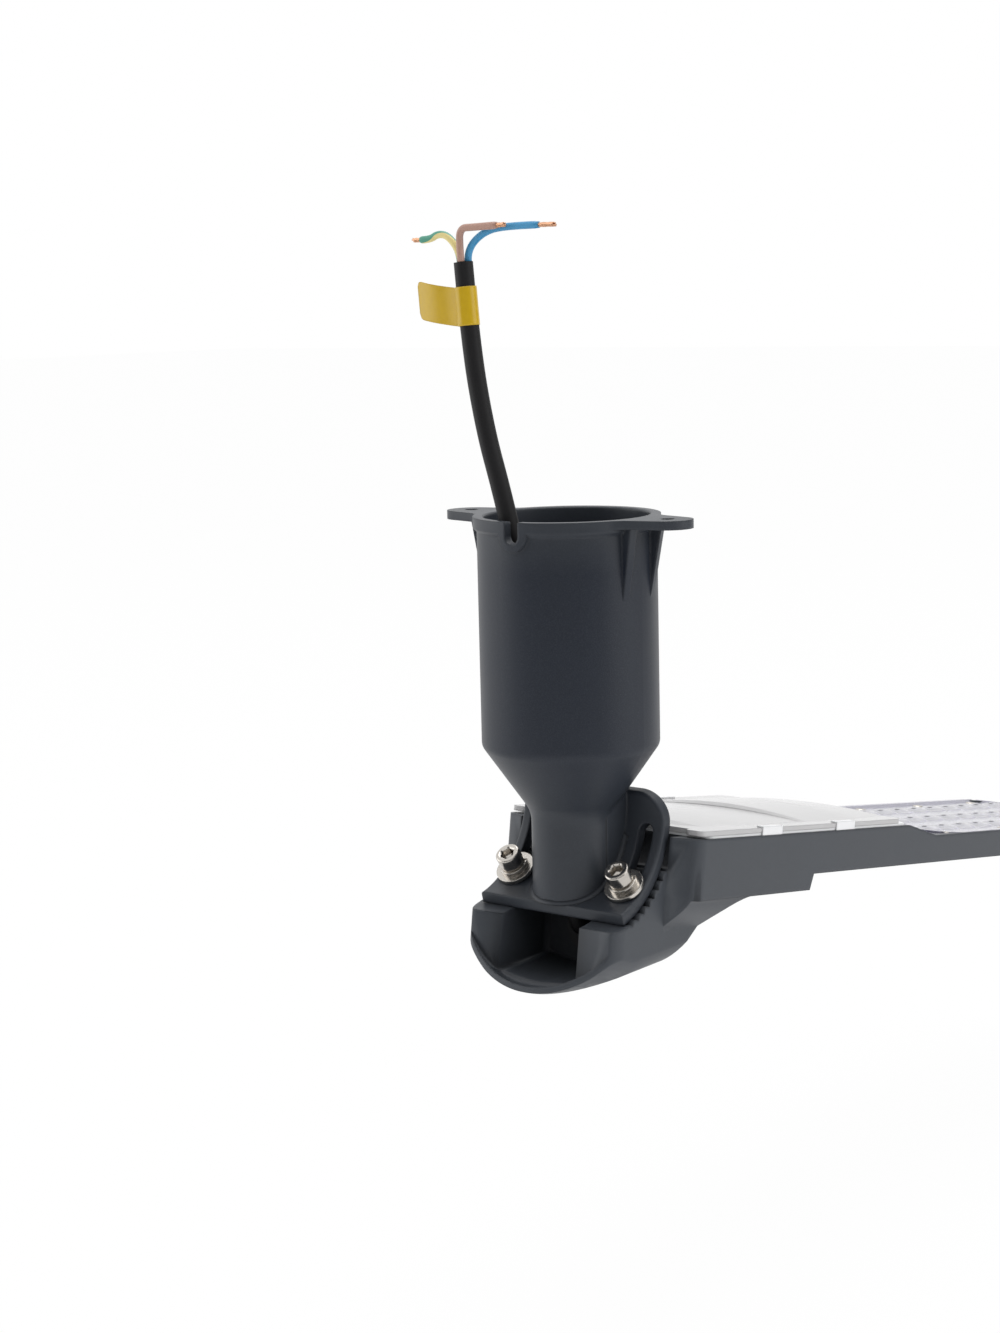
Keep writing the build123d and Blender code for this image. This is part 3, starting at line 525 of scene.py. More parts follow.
def merged(piece, distance, flat=0.0):
    """Merges a piece's doubled points, turns its faces outwards and keeps edges over 30 degrees sharp. Faces that
    lie within the angle called flat, in degrees, become one."""
    work = bmesh.new()
    work.from_mesh(piece.data)
    bmesh.ops.remove_doubles(work, verts=work.verts, dist=distance)
    bmesh.ops.dissolve_degenerate(work, edges=work.edges, dist=distance)
    if flat:
        bmesh.ops.dissolve_limit(work, angle_limit=math.radians(flat), verts=work.verts, edges=work.edges)
    bmesh.ops.recalc_face_normals(work, faces=work.faces)
    work.to_mesh(piece.data)
    work.free()
    piece.data.shade_smooth()
    piece.data.set_sharp_from_angle(angle=math.radians(30))
    return piece


# %% Cuts and joints


def worked(piece, *others):
    """A piece after cuts, joints and overlaps with other solids, which are used up."""
    for operation, other in others:
        step = piece.modifiers.new(operation, "BOOLEAN")
        step.operation, step.object, step.solver = operation, other, "MANIFOLD"
    bpy.context.view_layer.update()
    mesh = bpy.data.meshes.new_from_object(piece.evaluated_get(bpy.context.evaluated_depsgraph_get()))
    piece.modifiers.clear()
    piece.data = mesh
    for _, other in others:
        bpy.data.meshes.remove(other.data)
    return piece


# %% Outlines of the rear
SEAT_HALF, HALF_W, REAR, FLARE, SHOULDER = 36.5, 48.0, -17.0, 14.5, 20.0
BELLY, RAMP_LOW, RAMP_HIGH, BOWL_DROP = 24.3, 14.5, 53.15, 57.42
BOWL_Z, BOWL_R, LIP_R, RIM_T, RIM_OUT, POST_ROUND = -183.4, 80, 44, 2.4, 8.0, 9.0
PROUD = 0.02  # how far a cutter stands off a face that it must not graze


def leaning(fall, y, z):
    """A way to place points: turned about X so that the Y line falls forwards, then moved; degrees, millimetres."""
    c, t = np.cos(np.radians(fall)), np.sin(np.radians(fall))
    turn = np.array([(1, 0, 0), (0, c, t), (0, -t, c)])
    return lambda points: points @ turn.T + (0, 0.001 * y, 0.001 * z)


def bowl(half, radius, inset, corner=11, fall=0.0, pivot=0.0):
    """A run of one section: upright sides and a round bottom whose height is radius less the root of radius
    squared less x squared; the corner between them is an arc."""
    half, radius, corner = half - inset, radius - inset, corner - inset / 2
    reach = half - 0.9 * corner
    x = np.linspace(-reach, reach, 49)
    foot = inset + radius - np.sqrt(radius**2 - x**2)
    lift = inset + radius - np.sqrt(radius**2 - half**2)
    ring = [(-half, 120), (-half, lift), *np.c_[x, foot].tolist(), (half, lift), (half, 120)]
    radii = [0, corner, *[0] * len(x), corner, 0]
    return prism(rounded(ring, radii), -200, 200, 1, leaning(fall, pivot, BOWL_Z))


def lip(inset):
    """A round trough whose line falls forwards: a half circle under two upright sides."""
    radius = LIP_R - inset
    angle = np.linspace(-np.pi, 0, 60)
    half_circle = np.c_[radius * np.cos(angle), radius * np.sin(angle)]
    outline = 0.001 * np.vstack([half_circle, [(radius, 150), (-radius, 150)]])
    return prism(outline, -200, 200, 1, leaning(20, -25, BOWL_Z + LIP_R))


def plan_of_rear(half, deep, front, wide):
    """The rear seen from above: round corners, a rear edge that bulges, and a wider part in front."""
    x = np.linspace(-half, half, 25)[1:-1]
    bulge = REAR - deep * (1 - (x / half) ** 2)
    ring = [(-wide, 0), (-half, 0), (-half, REAR), *np.c_[x, bulge][4:-4].tolist(), (half, REAR), (half, 0),
            (wide, 0), (wide, front), (-wide, front)]
    radii = [0, 0, POST_ROUND, *[0] * (len(ring) - 8), POST_ROUND, 0, 0, 0, 0]
    return prism(rounded(ring, radii), -90, 10, 2, in_row)


def block(x0, x1, s0, s1, h0, h1):
    """A block of the head's own frame."""
    return prism(0.001 * np.array([(x0, s0), (x1, s0), (x1, s1), (x0, s1)]), h0, h1, 2, in_row)


# %% The haunch
side_line = [(-30, -3), (84, -3), (84, -BELLY + 0.01), (RAMP_HIGH, -BELLY + 0.01), (RAMP_LOW, -BOWL_DROP), (-30, -64)]
ramp = rounded(side_line, [0, 0, 0, 34, 20, 0], 17)
hollow = 0.001 * np.array([(21, -3), (80, -3), (80, -21), (52, -21), (21, -48)])
flare = [(-SEAT_HALF + 1, FLARE - 0.5), (-HALF_W + 0.01, SHOULDER), (-HALF_W + 0.01, 82), (HALF_W - 0.01, 82),
         (HALF_W - 0.01, SHOULDER), (SEAT_HALF - 1, FLARE - 0.5)]
haunch = prism(rounded(flare, [0, 6, 0, 0, 6, 0]), -90, -23, 2, in_row)
worked(haunch, ("INTERSECT", prism(ramp, -60, 60, 0, in_row)), ("INTERSECT", bowl(HALF_W + 0.5, 53, 0, 26, 12, 25)),
       ("DIFFERENCE", prism(hollow, -33, 33, 0, in_row)))
print("haunch faces", len(haunch.data.polygons))

# %% The rim
behind = worked(block(-60, 60, -60, REAR - PROUD, -90, 1), ("INTERSECT", bowl(SEAT_HALF + 0.5, BOWL_R, RIM_T)),
                ("INTERSECT", lip(RIM_T)))
inside = worked(bowl(SEAT_HALF + 0.5, BOWL_R, RIM_T), ("INTERSECT", lip(RIM_T)))
rim = worked(block(-36.4, 36.4, -60, REAR + 2, -90, -43), ("INTERSECT", plan_of_rear(SEAT_HALF, RIM_OUT, 90, 60)),
             ("INTERSECT", bowl(SEAT_HALF + 0.5, BOWL_R, PROUD)), ("INTERSECT", lip(PROUD)), ("DIFFERENCE", inside))
print("rim faces", len(rim.data.polygons))

# %% Finished casting
casting = nodes["head_housing"].copy()
casting.data = nodes["head_housing"].data.copy()
casting.name = "head_casting"
bpy.context.scene.collection.objects.link(casting)
merged(casting, 0.000001)
worked(casting, ("DIFFERENCE", block(SEAT_HALF + PROUD, 60, 13, RAMP_HIGH, -90, -BELLY + PROUD)),
       ("DIFFERENCE", block(-60, -SEAT_HALF - PROUD, 13, RAMP_HIGH, -90, -BELLY + PROUD)),
       ("DIFFERENCE", behind), ("INTERSECT", plan_of_rear(SEAT_HALF + PROUD, RIM_OUT, 500, 60)),
       ("UNION", haunch), ("UNION", rim))
wear(merged(casting, 0.000002, 0.4), head_coat)
even = casting.modifiers.new("even_shading", "WEIGHTED_NORMAL")
even.keep_sharp = True
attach(casting, "head")
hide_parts("head_housing")
print("casting faces", len(casting.data.polygons))

# %% [markdown]
# ## The lens panel
# One clear moulding covers the lamp: a low dome with a dimple over every light package, and a skirt down to the
# circuit board. Its top and its underside are two height fields over the same grid, closed by a wall round the edge.
# Its colour has a small dark dot at the centre of every dimple.

# %% Lens panel
LENS_HALF, LENS_S0, LENS_S1, LENS_CORNER = 47.3, 227.0, 429.2, 13.0
DOME_R, DOME_RISE, DIMPLE_R, DIMPLE_DEEP = 7.4, 1.7, 1.5, 0.8
PANEL_TOP, PANEL_LOW, BOARD_TOP = -6.2, -8.6, -12.9
FLANGE, FLANGE_TOP, FLANGE_LOW, SKIRT = 2.9, -5.05, -5.35, 5.3
DOME_X, DOME_S, DOME_FIRST, DOME_ROWS = 26.0, 17.0, 245.0, 11


def lens_surface(across=99, along=221):
    """Top: a plane plus, at a distance r from the nearest lens, rise times (1 - (r / R) squared), less a bell-shaped
    dimple, and a step up to the flange that lies on the casting's rim. Underside: flat, down to the board in a
    skirt, and up again under the flange."""
    u, s = np.meshgrid(np.linspace(-1, 1, across), np.linspace(LENS_S0, LENS_S1, along))
    end = np.clip(LENS_CORNER - np.minimum(s - LENS_S0, LENS_S1 - s), 0, None)
    x = u * (LENS_HALF - LENS_CORNER + np.sqrt(LENS_CORNER**2 - end**2))
    row = np.clip(np.round((s - DOME_FIRST) / DOME_S), 0, DOME_ROWS - 1)
    column = np.clip(np.round(x / DOME_X), -1, 1)
    away = np.hypot(x - column * DOME_X, s - DOME_FIRST - row * DOME_S)
    dome = DOME_RISE * np.clip(1 - (away / DOME_R) ** 2, 0, None)
    top = PANEL_TOP + dome - DIMPLE_DEEP * np.exp(-((away / DIMPLE_R) ** 2))
    edge = np.minimum(np.minimum(s - LENS_S0, LENS_S1 - s), LENS_HALF - np.abs(x))
    top = np.where(edge < FLANGE + 0.6, FLANGE_TOP, top)
    under = np.where(edge > SKIRT, PANEL_LOW, np.where(edge > FLANGE, BOARD_TOP, FLANGE_LOW))
    return x, s, top, under


def lens_solid():
    """The two height fields joined by a wall round their edge."""
    x, s, top, under = lens_surface()
    rows, columns = x.shape
    points = np.vstack([np.stack([x, s, h], -1).reshape(-1, 3) for h in (top, under)]) * 0.001
    i, j = np.meshgrid(np.arange(rows - 1), np.arange(columns - 1), indexing="ij")
    a = (i * columns + j).ravel()
    upper = np.stack([a, a + 1, a + columns + 1, a + columns], -1)
    grid = np.arange(rows * columns).reshape(rows, columns)
    rim = np.concatenate([grid[0, :-1], grid[:-1, -1], grid[-1, :0:-1], grid[:0:-1, 0]])
    after, deep = np.roll(rim, -1), rows * columns
    wall = np.stack([rim, rim + deep, after + deep, after], -1)
    mesh = bpy.data.meshes.new("lens_moulding")
    mesh.from_pydata(in_row(points).tolist(), [], np.vstack([upper, upper[:, ::-1] + deep, wall]).tolist())
    mesh.shade_smooth()
    mesh.set_sharp_from_angle(angle=math.radians(40))
    moulding = bpy.data.objects.new("lens_moulding", mesh)
    bpy.context.scene.collection.objects.link(moulding)
    return moulding


def dotted_lens():
    """Clear plastic with a small dark dot under each dimple, found from the head's own coordinates."""
    clear = Finish("lens_plastic")
    spot = clear.node("Mapping", {"vector_type": "POINT"}, {
        "Vector": clear.place(), "Location": (0, -RIM_Z * math.sin(HEAD_TILT), -RIM_Z * math.cos(HEAD_TILT)),
        "Rotation": (HEAD_TILT, 0, 0)})
    x, s = (clear.node("SeparateXYZ", None, {0: spot}, out=k) for k in (0, 1))
    off_x = x - (x * (1000 / DOME_X)).math("ROUND", x * (1000 / DOME_X)) * (DOME_X / 1000)
    steps = (s - DOME_FIRST / 1000) * (1000 / DOME_S)
    off_s = (s - DOME_FIRST / 1000) - steps.math("ROUND", steps) * (DOME_S / 1000)
    away = (off_x * off_x + off_s * off_s).math("SQRT", off_x * off_x + off_s * off_s)
    cloud = clear.noise(120, 2.0)
    tone = clear.ramp(away * 100, [(0.10, (0.07, 0.07, 0.10)), (0.16, (0.72, 0.715, 0.76)),
                                   (0.55, (0.77, 0.765, 0.80)), (0.72, (0.60, 0.59, 0.68))])
    return clear.done(Base_Color=tone, Roughness=cloud * 0.08 + 0.10, IOR=1.49, Transmission_Weight=0.45)


lens = wear(lens_solid(), dotted_lens())
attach(lens, "head")
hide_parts("lens_panel")
print("lens moulding points", len(lens.data.vertices))

# %% [markdown]
# ## The supply cable
# It is a round rubber cable with three cores. It comes up out of the neck, leans on the socket's rim at the
# notch, and ends bare, a quarter of a metre from where it starts. One smooth curve follows the route, and a round
# section gives it its thickness.

# %% Cable curve
CABLE_D = 0.0074
cable_route = 0.001 * np.array([
    (-26.5, -26.8, 97.1), (-23.85, -26.8, 65.6), (-17.8, -26.8, 33.8), (-10.8, -26.6, 11.1), (-5.0, -26.0, -12.0),
    (-4.0, -21.5, -38.0), (-2.5, -14.0, -65.0), (-1.0, -5.0, -95.0), (0, 0, -121.0), (0, 0, -146.4)])


def smooth_curve(name, route, radius):
    """A curve of one smooth spline over a route's points, with a round section unless the radius is 0."""
    data = bpy.data.curves.new(name, "CURVE")
    data.dimensions = "3D"
    data.resolution_u = 12
    spline = data.splines.new("NURBS")
    spline.points.add(len(route) - 1)
    spline.points.foreach_set("co", np.c_[route, np.ones(len(route))].ravel())
    spline.order_u = 3
    spline.use_endpoint_u = True
    data.bevel_depth = radius
    data.bevel_resolution = 6
    data.use_fill_caps = radius > 0
    piece = bpy.data.objects.new(name, data)
    bpy.context.scene.collection.objects.link(piece)
    return piece


def line_of(route):
    """The points that Blender's own smooth spline runs through for a route."""
    bare = smooth_curve("bare_line", route, 0)
    mesh = bpy.data.meshes.new_from_object(bare)
    points = np.empty(len(mesh.vertices) * 3)
    mesh.vertices.foreach_get("co", points)
    bpy.data.meshes.remove(mesh)
    bpy.data.curves.remove(bare.data)
    return points.reshape(-1, 3)


cable = wear(smooth_curve("supply_cable_sheath", cable_route, CABLE_D / 2), sheath)
cable_line = line_of(cable_route)
cable_length = np.linalg.norm(np.diff(cable_line, axis=0), axis=1).sum()
print("cable length", round(cable_length, 4))

# %% [markdown]
# ## Tubes along a line
# The cores need a stripe that runs along them, so they are meshes with their own map: one direction round, one
# along. A frame of two sideways directions is carried along the line, turned as little as possible at each
# point, and each ring of the tube is a circle in that frame.

# %% A frame carried along a line


def carried_frame(points):
    """Directions along a line and two sideways, each pair the last one made square to the new direction."""
    ahead = np.gradient(points, axis=0)
    ahead /= np.linalg.norm(ahead, axis=1, keepdims=True)
    side = np.empty_like(points)
    first = np.cross(ahead[0], (0.3, 0.9, 0.1))
    side[0] = first / np.linalg.norm(first)
    for i in range(1, len(points)):
        flat = side[i - 1] - ahead[i] * (side[i - 1] @ ahead[i])
        side[i] = flat / np.linalg.norm(flat)
    return ahead, side, np.cross(ahead, side)


# %% Grids and tubes


def grid_mesh(name, points, around=True, caps=False):
    """A mesh on a grid of points, rings by steps, with a map: u round or across, v along."""
    rings, steps = points.shape[:2]
    i, j = np.meshgrid(np.arange(rings - 1), np.arange(steps if around else steps - 1), indexing="ij")
    k = (j + 1) % steps
    quads = np.stack([i * steps + j, i * steps + k, (i + 1) * steps + k, (i + 1) * steps + j], -1).reshape(-1, 4)
    u = np.stack([j, j + 1, j + 1, j], -1).reshape(-1, 4) / (steps if around else steps - 1)
    v = np.stack([i, i, i + 1, i + 1], -1).reshape(-1, 4) / (rings - 1)
    faces = [tuple(q) for q in quads.tolist()]
    if caps:
        faces += [tuple(range(steps))[::-1], tuple(range((rings - 1) * steps, rings * steps))]
    mesh = bpy.data.meshes.new(name)
    mesh.from_pydata(points.reshape(-1, 3).tolist(), [], faces)
    flat = np.zeros((len(mesh.loops), 2))
    flat[:quads.size] = np.stack([u.ravel(), v.ravel()], -1)
    mesh.uv_layers.new(name="along").data.foreach_set("uv", flat.ravel())
    mesh.shade_smooth()
    piece = bpy.data.objects.new(name, mesh)
    bpy.context.scene.collection.objects.link(piece)
    return piece


def tube(name, line, radius, steps=20):
    """Circles of the given radius, one number or one for each point, square to a line."""
    _, side, other = carried_frame(line)
    angle = np.linspace(0, 2 * np.pi, steps, endpoint=False)
    size = np.broadcast_to(np.asarray(radius, float), len(line))[:, None, None]
    ring = np.cos(angle)[None, :, None] * side[:, None] + np.sin(angle)[None, :, None] * other[:, None]
    return grid_mesh(name, line[:, None] + size * ring, caps=True)


# %% [markdown]
# ## The three cores
# Earth is green with a yellow stripe, live is brown, and neutral is blue. Each is soft plastic over twisted
# copper wires. The cores leave the sheath close together, part, and bend away to where they were cut.

# %% Cores
CORE_D = 0.0028
STRIPE_TWIST, STRIPE_START = 0.55, 0.72
top = cable_route[0]
way = (cable_route[0] - cable_route[1]) / np.linalg.norm(cable_route[0] - cable_route[1])
core_points = {
    "earth_core": ((-1.9, 0.6), [(-34.2, -26.2, 107.3), (-39.2, -26.2, 108.0), (-43.0, -26.2, 106.0),
                                 (-47.6, -26.2, 106.0)], 4.0),
    "live_core": ((0.5, -2.0), [(-26.4, -28.8, 109.8), (-19.5, -28.8, 109.9), (-8.4, -28.8, 110.3)], 4.2),
    "neutral_core": ((1.4, 1.3), [(-17.5, -25.5, 108.2), (-6.5, -25.5, 110.0), (9.0, -25.5, 109.9)], 8.0),
}


def core_colour(name, first, second=None):
    """Soft plastic in one colour, or in two that share the round, read from the map."""
    soft = Finish(name)
    skin = soft.noise(900, 2.0)
    if second is None:
        tone = soft.blend(skin, tuple(c * 0.85 for c in first), first)
    else:
        flat = soft.node("UVMap", {"uv_map": "along"})
        across, along = (soft.node("SeparateXYZ", None, {0: flat}, out=k) for k in (0, 1))
        turns = across + along * STRIPE_TWIST + STRIPE_START
        stripe = soft.ramp(turns.math("FRACT", turns), [
            (0.0, (0, 0, 0)), (0.38, (0, 0, 0)), (0.40, (1, 1, 1)), (0.98, (1, 1, 1)), (1.0, (0, 0, 0))])
        tone = soft.blend(stripe, first, second)
    return soft.done(Base_Color=tone, Roughness=skin * 0.1 + 0.34, Normal=soft.bump(skin, 0.00003, 0.2))


core_finish = {
    "earth_core": core_colour("earth_green_yellow", (0.78, 0.66, 0.28), (0.07, 0.31, 0.22)),
    "live_core": core_colour("live_brown", (0.47, 0.28, 0.22)),
    "neutral_core": core_colour("neutral_blue", (0.05, 0.30, 0.56)),
}
core_pieces, strand_parts = [], []
for name, (step, later, bare_end) in core_points.items():
    start = top + 0.001 * np.array((step[0], step[1], 0)) - way * (0.001 * step[0] * way[0])
    route = np.vstack([start, start + way * 0.0045, 0.001 * np.array(later)])
    line = line_of(route)
    radius = np.full(len(line), CORE_D / 2)
    radius[-1] *= 0.86
    piece = wear(tube(name + "_skin", line, radius), core_finish[name])
    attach(piece, "spigot")
    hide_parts(name)
    core_pieces.append(piece)
    strand_parts.append((line[-1], line[-1] - line[-2], bare_end * 0.001))
print("cores", [p.name for p in core_pieces])

# %% [markdown]
# ## Bare copper
# Where the plastic is stripped, thin copper wires show, twisted together. Each wire is a helix about the core's
# end direction, and six wires go round one in the middle.

# %% Strands
WIRE_R, STRAND_R, HIDDEN = 0.00031, 0.00062, 0.001


def twisted_wires(end, ahead, length):
    """Helices about a line: sideways by cosine and sine of an angle that grows along it."""
    ahead = ahead / np.linalg.norm(ahead)
    side = np.cross(ahead, (0.2, 0.9, 0.3))
    side /= np.linalg.norm(side)
    other = np.cross(ahead, side)
    along = np.linspace(-HIDDEN, length, 15)
    wires = []
    for k in range(7):
        angle = 2 * np.pi * k / 6 + along / length * 2.2
        away = 0 if k == 6 else STRAND_R
        wires.append(end + ahead * along[:, None] * (1 - 0.03 * k)
                     + away * (np.cos(angle)[:, None] * side + np.sin(angle)[:, None] * other))
    return wires


wires = [tube("wire", line, WIRE_R, 8) for part in strand_parts for line in twisted_wires(*part)]


def joined(name, parts):
    """One piece out of several meshes."""
    points, faces, start = [], [], 0
    for part in parts:
        found = np.empty(len(part.data.vertices) * 3)
        part.data.vertices.foreach_get("co", found)
        points.append(found.reshape(-1, 3))
        faces += [tuple(v + start for v in face.vertices) for face in part.data.polygons]
        start += len(part.data.vertices)
        bpy.data.meshes.remove(part.data)
    mesh = bpy.data.meshes.new(name)
    mesh.from_pydata(np.vstack(points).tolist(), [], faces)
    mesh.shade_smooth()
    piece = bpy.data.objects.new(name, mesh)
    bpy.context.scene.collection.objects.link(piece)
    return piece


strands = wear(joined("copper_wires", wires), copper)
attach(strands, "spigot")
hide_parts("core_strands")
print("copper wires", len(wires))

# %% [markdown]
# ## The tag
# A strip of yellow film goes once round the cable and its two ends are stuck together as a flag. The surface is
# a strip carried round the cable and then out to the side, with rounded corners and a slight curl. It is bare of
# print.

# %% Tag
TAG_TOP, TAG_TALL, FLAG, FILM = 0.0093, 0.0147, 0.0218, 0.0005
TAG_RISE, TAG_CORNER, TAG_CURL, TAG_WAVE = 0.0048, 0.0022, 0.0022, 0.0004
tag_axis = way
tag_out = np.array((1.0, 0, 0.08))
tag_out = tag_out - tag_axis * (tag_out @ tag_axis)
tag_out /= np.linalg.norm(tag_out)
tag_back = np.cross(tag_axis, tag_out)


def tag_sheet():
    """Round the cable on an arc, then out to the left and a little up; corners of the flag rounded, its end
    curled."""
    radius = CABLE_D / 2 + 0.0003
    turn = np.linspace(np.radians(-172), np.radians(172), 40)
    ring = np.stack([radius * np.cos(turn), radius * np.sin(turn)], -1)
    run = np.linspace(0, 1, 28)
    curl = TAG_CURL * run**2 + TAG_WAVE * np.sin(run * 7)
    flag = np.stack([-radius - run * FLAG, 0.0004 + curl], -1)
    path = np.vstack([ring, flag])
    height = np.linspace(-1, 1, 25)
    reach = np.concatenate([np.zeros(40), run])
    corner = TAG_CORNER / FLAG
    past = np.clip((reach - (1 - corner)) / corner, 0, 1)
    half = 0.5 * TAG_TALL - TAG_CORNER * (1 - np.sqrt(1 - past**2))
    centre = top - tag_axis * (TAG_TOP + TAG_TALL / 2)
    lift = TAG_RISE * reach[:, None] ** 1.2
    return (centre + path[:, None, :1] * tag_out + path[:, None, 1:] * tag_back
            + (half[:, None] * height + lift)[:, :, None] * tag_axis)


film = Finish("yellow_film")
dust = film.noise(400, 3.0)
tag_tone = film.blend(dust, (0.52, 0.33, 0.001), (0.60, 0.39, 0.002))
tag = wear(grid_mesh("cable_tag_film", tag_sheet(), around=False), film.done(
    Base_Color=tag_tone, Roughness=dust * 0.1 + 0.25, Normal=film.bump(film.noise(160, 2.0), 0.0001, 0.3)))
thick = tag.modifiers.new("film", "SOLIDIFY")
thick.thickness, thick.offset = FILM, 0.0
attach(tag, "spigot")
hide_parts("cable_tag")
print("tag", TAG_TALL, "by", FLAG, "m")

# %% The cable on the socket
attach(cable, "spigot")
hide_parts("supply_cable")
print("cord pieces", 1 + len(core_pieces) + 2)

# %% [markdown]
# ## The fillet at the neck's foot
# The neck and its web run into the curved plate in a fillet, small behind and large at the sides, as a casting
# needs. It is a strip along the foot line: at each point a quarter circle from the neck's wall to the plate.

# %% Neck fillet
NECK_R, WEB_X, PLATE_R, SUNK = 0.0162, 0.0167, 0.0378, 0.0012
TILT_Y, TILT_Z = -0.0242, -0.1145


def neck_fillet():
    """Outward distance size (1 - sin t), height plate plus size (1 - cos t); the plate is a circle about the tilt
    axis; each ring closes behind the wall."""
    straight = np.linspace(0.0115, 0.0005, 14)
    turn = np.radians(np.linspace(0, -180, 60))
    foot = np.vstack([np.c_[np.full(14, WEB_X), straight], np.c_[NECK_R * np.cos(turn), NECK_R * np.sin(turn)],
                      np.c_[np.full(14, -WEB_X), straight[::-1]]])
    out = np.vstack([np.tile((1.0, 0.0), (14, 1)), np.c_[np.cos(turn), np.sin(turn)], np.tile((-1.0, 0.0), (14, 1))])
    size = 0.0012 + 0.0006 * np.clip((foot[:, 1] + 0.0162) / 0.024, 0, 1)
    t = np.linspace(-0.12, np.pi / 2 + 0.12, 12)
    away = size[:, None] * (1 - np.sin(t))
    away = np.hstack([away, np.full((len(foot), 1), -SUNK)])
    rise = np.hstack([size[:, None] * (1 - np.cos(t)), np.full((len(foot), 1), -SUNK)])
    y = foot[:, 1:] + out[:, 1:] * away
    plate = TILT_Z - np.sqrt(np.clip(PLATE_R**2 - (y - TILT_Y) ** 2, 1e-6, None))
    return np.stack([foot[:, :1] + out[:, :1] * away, y, plate + rise], -1)


fillet = grid_mesh("neck_fillet", neck_fillet(), caps=True)
wear(merged(fillet, 0.000001), spigot_coat)
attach(fillet, "spigot")
print("fillet faces", len(fillet.data.polygons))

# %% [markdown]
# ## The tilt screws
# Two M6 socket head cap screws clamp the curved plate to the toothed seat. Each is one surface: a profile turned
# about the screw's line, whose radius is a hexagon where the key goes in and a helix where the thread is cut.

# %% Tilt screws
SCREW_HEAD_R, SCREW_HEAD_H, KEY_FLAT, KEY_DEEP = 0.005, 0.0062, 0.00252, 0.0035
SHANK_R, SHANK_L, THREAD_PITCH, THREAD_DEEP = 0.003, 0.024, 0.001, 0.00055
SCREW_X, SCREW_FROM_AXIS, SCREW_ANGLE = 0.0267, 0.0328, np.radians(45) - HEAD_TILT
HEAD_ROUND, THREAD_END = 0.0007, -0.007


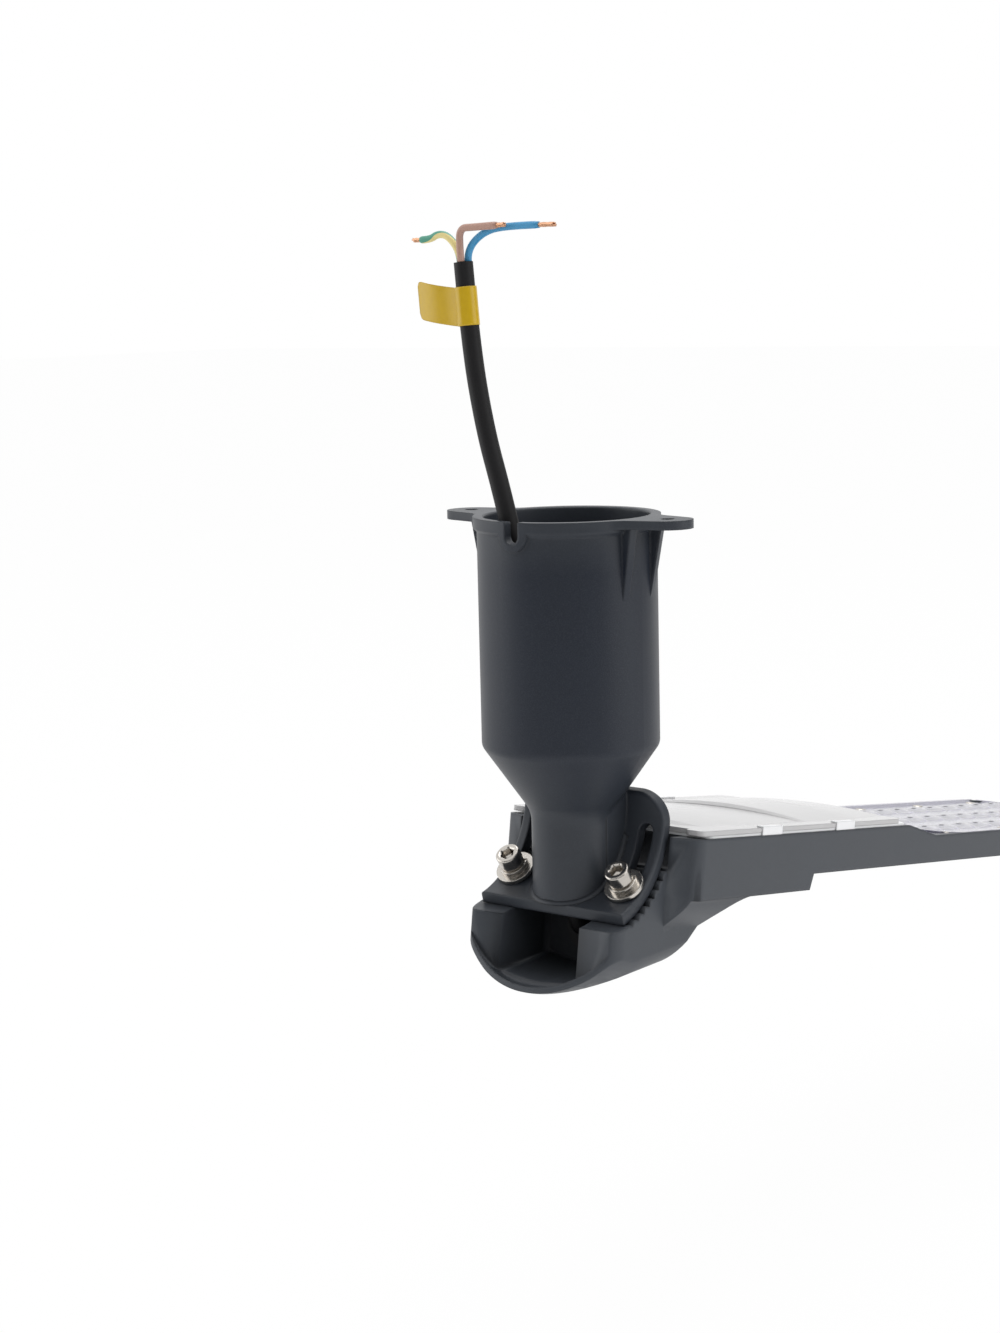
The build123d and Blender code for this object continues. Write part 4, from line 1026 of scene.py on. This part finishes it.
def screw_surface(steps=72):
    """Rings from the shank's tip up round the head and down into the socket, each a radius by angle."""
    angle = np.linspace(0, 2 * np.pi, steps, endpoint=False)
    round_ring = np.ones(steps)
    six = 1 / np.cos((angle + np.pi / 6) % (np.pi / 3) - np.pi / 6)
    height = np.linspace(-SHANK_L + 0.0005, THREAD_END, 150)
    phase = (height[:, None] / THREAD_PITCH - angle / (2 * np.pi)) % 1
    cut = THREAD_DEEP * np.abs(2 * phase - 1)
    ease = np.clip((height + SHANK_L) / 0.0018, 0, 1)[:, None] * np.clip((THREAD_END - height) / 0.001, 0, 1)[:, None]
    shank = (SHANK_R - THREAD_DEEP * (1 - ease[:, :1]) * (height < -0.02)[:, None]) - cut * ease
    bend = np.linspace(0, np.pi / 2, 6)
    top = [(SCREW_HEAD_R - HEAD_ROUND * (1 - np.cos(a)), SCREW_HEAD_H - HEAD_ROUND * (1 - np.sin(a))) for a in bend]
    head = [(SHANK_R, -0.0066), (SHANK_R, 0.0), (SCREW_HEAD_R - 0.0004, 0.0), (SCREW_HEAD_R, 0.0004),
            (SCREW_HEAD_R, 0.003), *top, (0.0034, SCREW_HEAD_H)]
    rings = [(0.0 * round_ring, np.full(steps, -SHANK_L)), (0.0022 * round_ring, np.full(steps, -SHANK_L))]
    rings += [(r, np.full(steps, z)) for r, z in zip(shank, height)]
    rings += [(r * round_ring, np.full(steps, z)) for r, z in head]
    rings += [(KEY_FLAT * six, np.full(steps, SCREW_HEAD_H - 0.00045)),
              (KEY_FLAT * six, np.full(steps, SCREW_HEAD_H - KEY_DEEP)),
              (0.0019 * round_ring, np.full(steps, SCREW_HEAD_H - KEY_DEEP - 0.0004)),
              (0.0 * round_ring, np.full(steps, SCREW_HEAD_H - KEY_DEEP - 0.001))]
    radius, up = np.array([a for a, _ in rings]), np.array([b for _, b in rings])
    return np.stack([radius * np.cos(angle), radius * np.sin(angle), up], -1)


along = np.array((0, -np.sin(SCREW_ANGLE), np.cos(SCREW_ANGLE)))
sideways = np.cross(along, (1, 0, 0))
foot = np.array((0, TILT_Y, TILT_Z)) - SCREW_FROM_AXIS * along
local = screw_surface()
screws = []
for side, twist in ((-1, 0.35), (1, 0.9)):
    x = local[..., 0] * np.cos(twist) - local[..., 1] * np.sin(twist)
    y = local[..., 0] * np.sin(twist) + local[..., 1] * np.cos(twist)
    placed = foot + x[..., None] * np.array((1.0, 0, 0)) + y[..., None] * sideways + local[..., 2:] * along
    screws.append(grid_mesh("screw", placed + (side * SCREW_X, 0, 0)))
tilt_screws = wear(joined("tilt_cap_screws", screws), steel)
merged(tilt_screws, 0.000001)
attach(tilt_screws, "head")
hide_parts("tilt_screws")
print("screw points", len(tilt_screws.data.vertices))

# %% [markdown]
# ## The cable loop
# Between the neck and the head's inner wall the cable makes a short bend. One end belongs to the socket, the other to
# the head.

# %% Loop
loop_route = np.array([(0, 0, -0.1464), (0, 0, -0.1649), (0, 0.00718, -0.16599)])
loop_line = line_of(loop_route)
loop = wear(tube("cable_loop_sheath", loop_line, CABLE_D / 2, 24), sheath)
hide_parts("cable_loop")
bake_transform(loop)
print("loop points", len(loop.data.vertices))

# %% [markdown]
# ## Last steps
# The CAD nodes that a piece stands for wear that piece's finish too. Then the object's size is written down,
# before and after dressing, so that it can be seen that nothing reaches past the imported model.

# %% Finishes of the replaced nodes
replaced = ["supply_cable", *core_points, "core_strands", "cable_tag", "tilt_screws", "cable_loop"]
for name, piece in zip(replaced, [cable, *core_pieces, strands, tag, tilt_screws, loop]):
    wear(nodes[name], piece.data.materials[0])
print("nodes without a finish", [name for name, node in nodes.items() if not node.data.materials])

# %% Sizes and finish
low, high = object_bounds()
below = [round((a - b) * 1000, 2) for a, b in zip(cad_low, low)]
above = [round((b - a) * 1000, 2) for a, b in zip(cad_high, high)]
print("grown by", below, above, "mm")
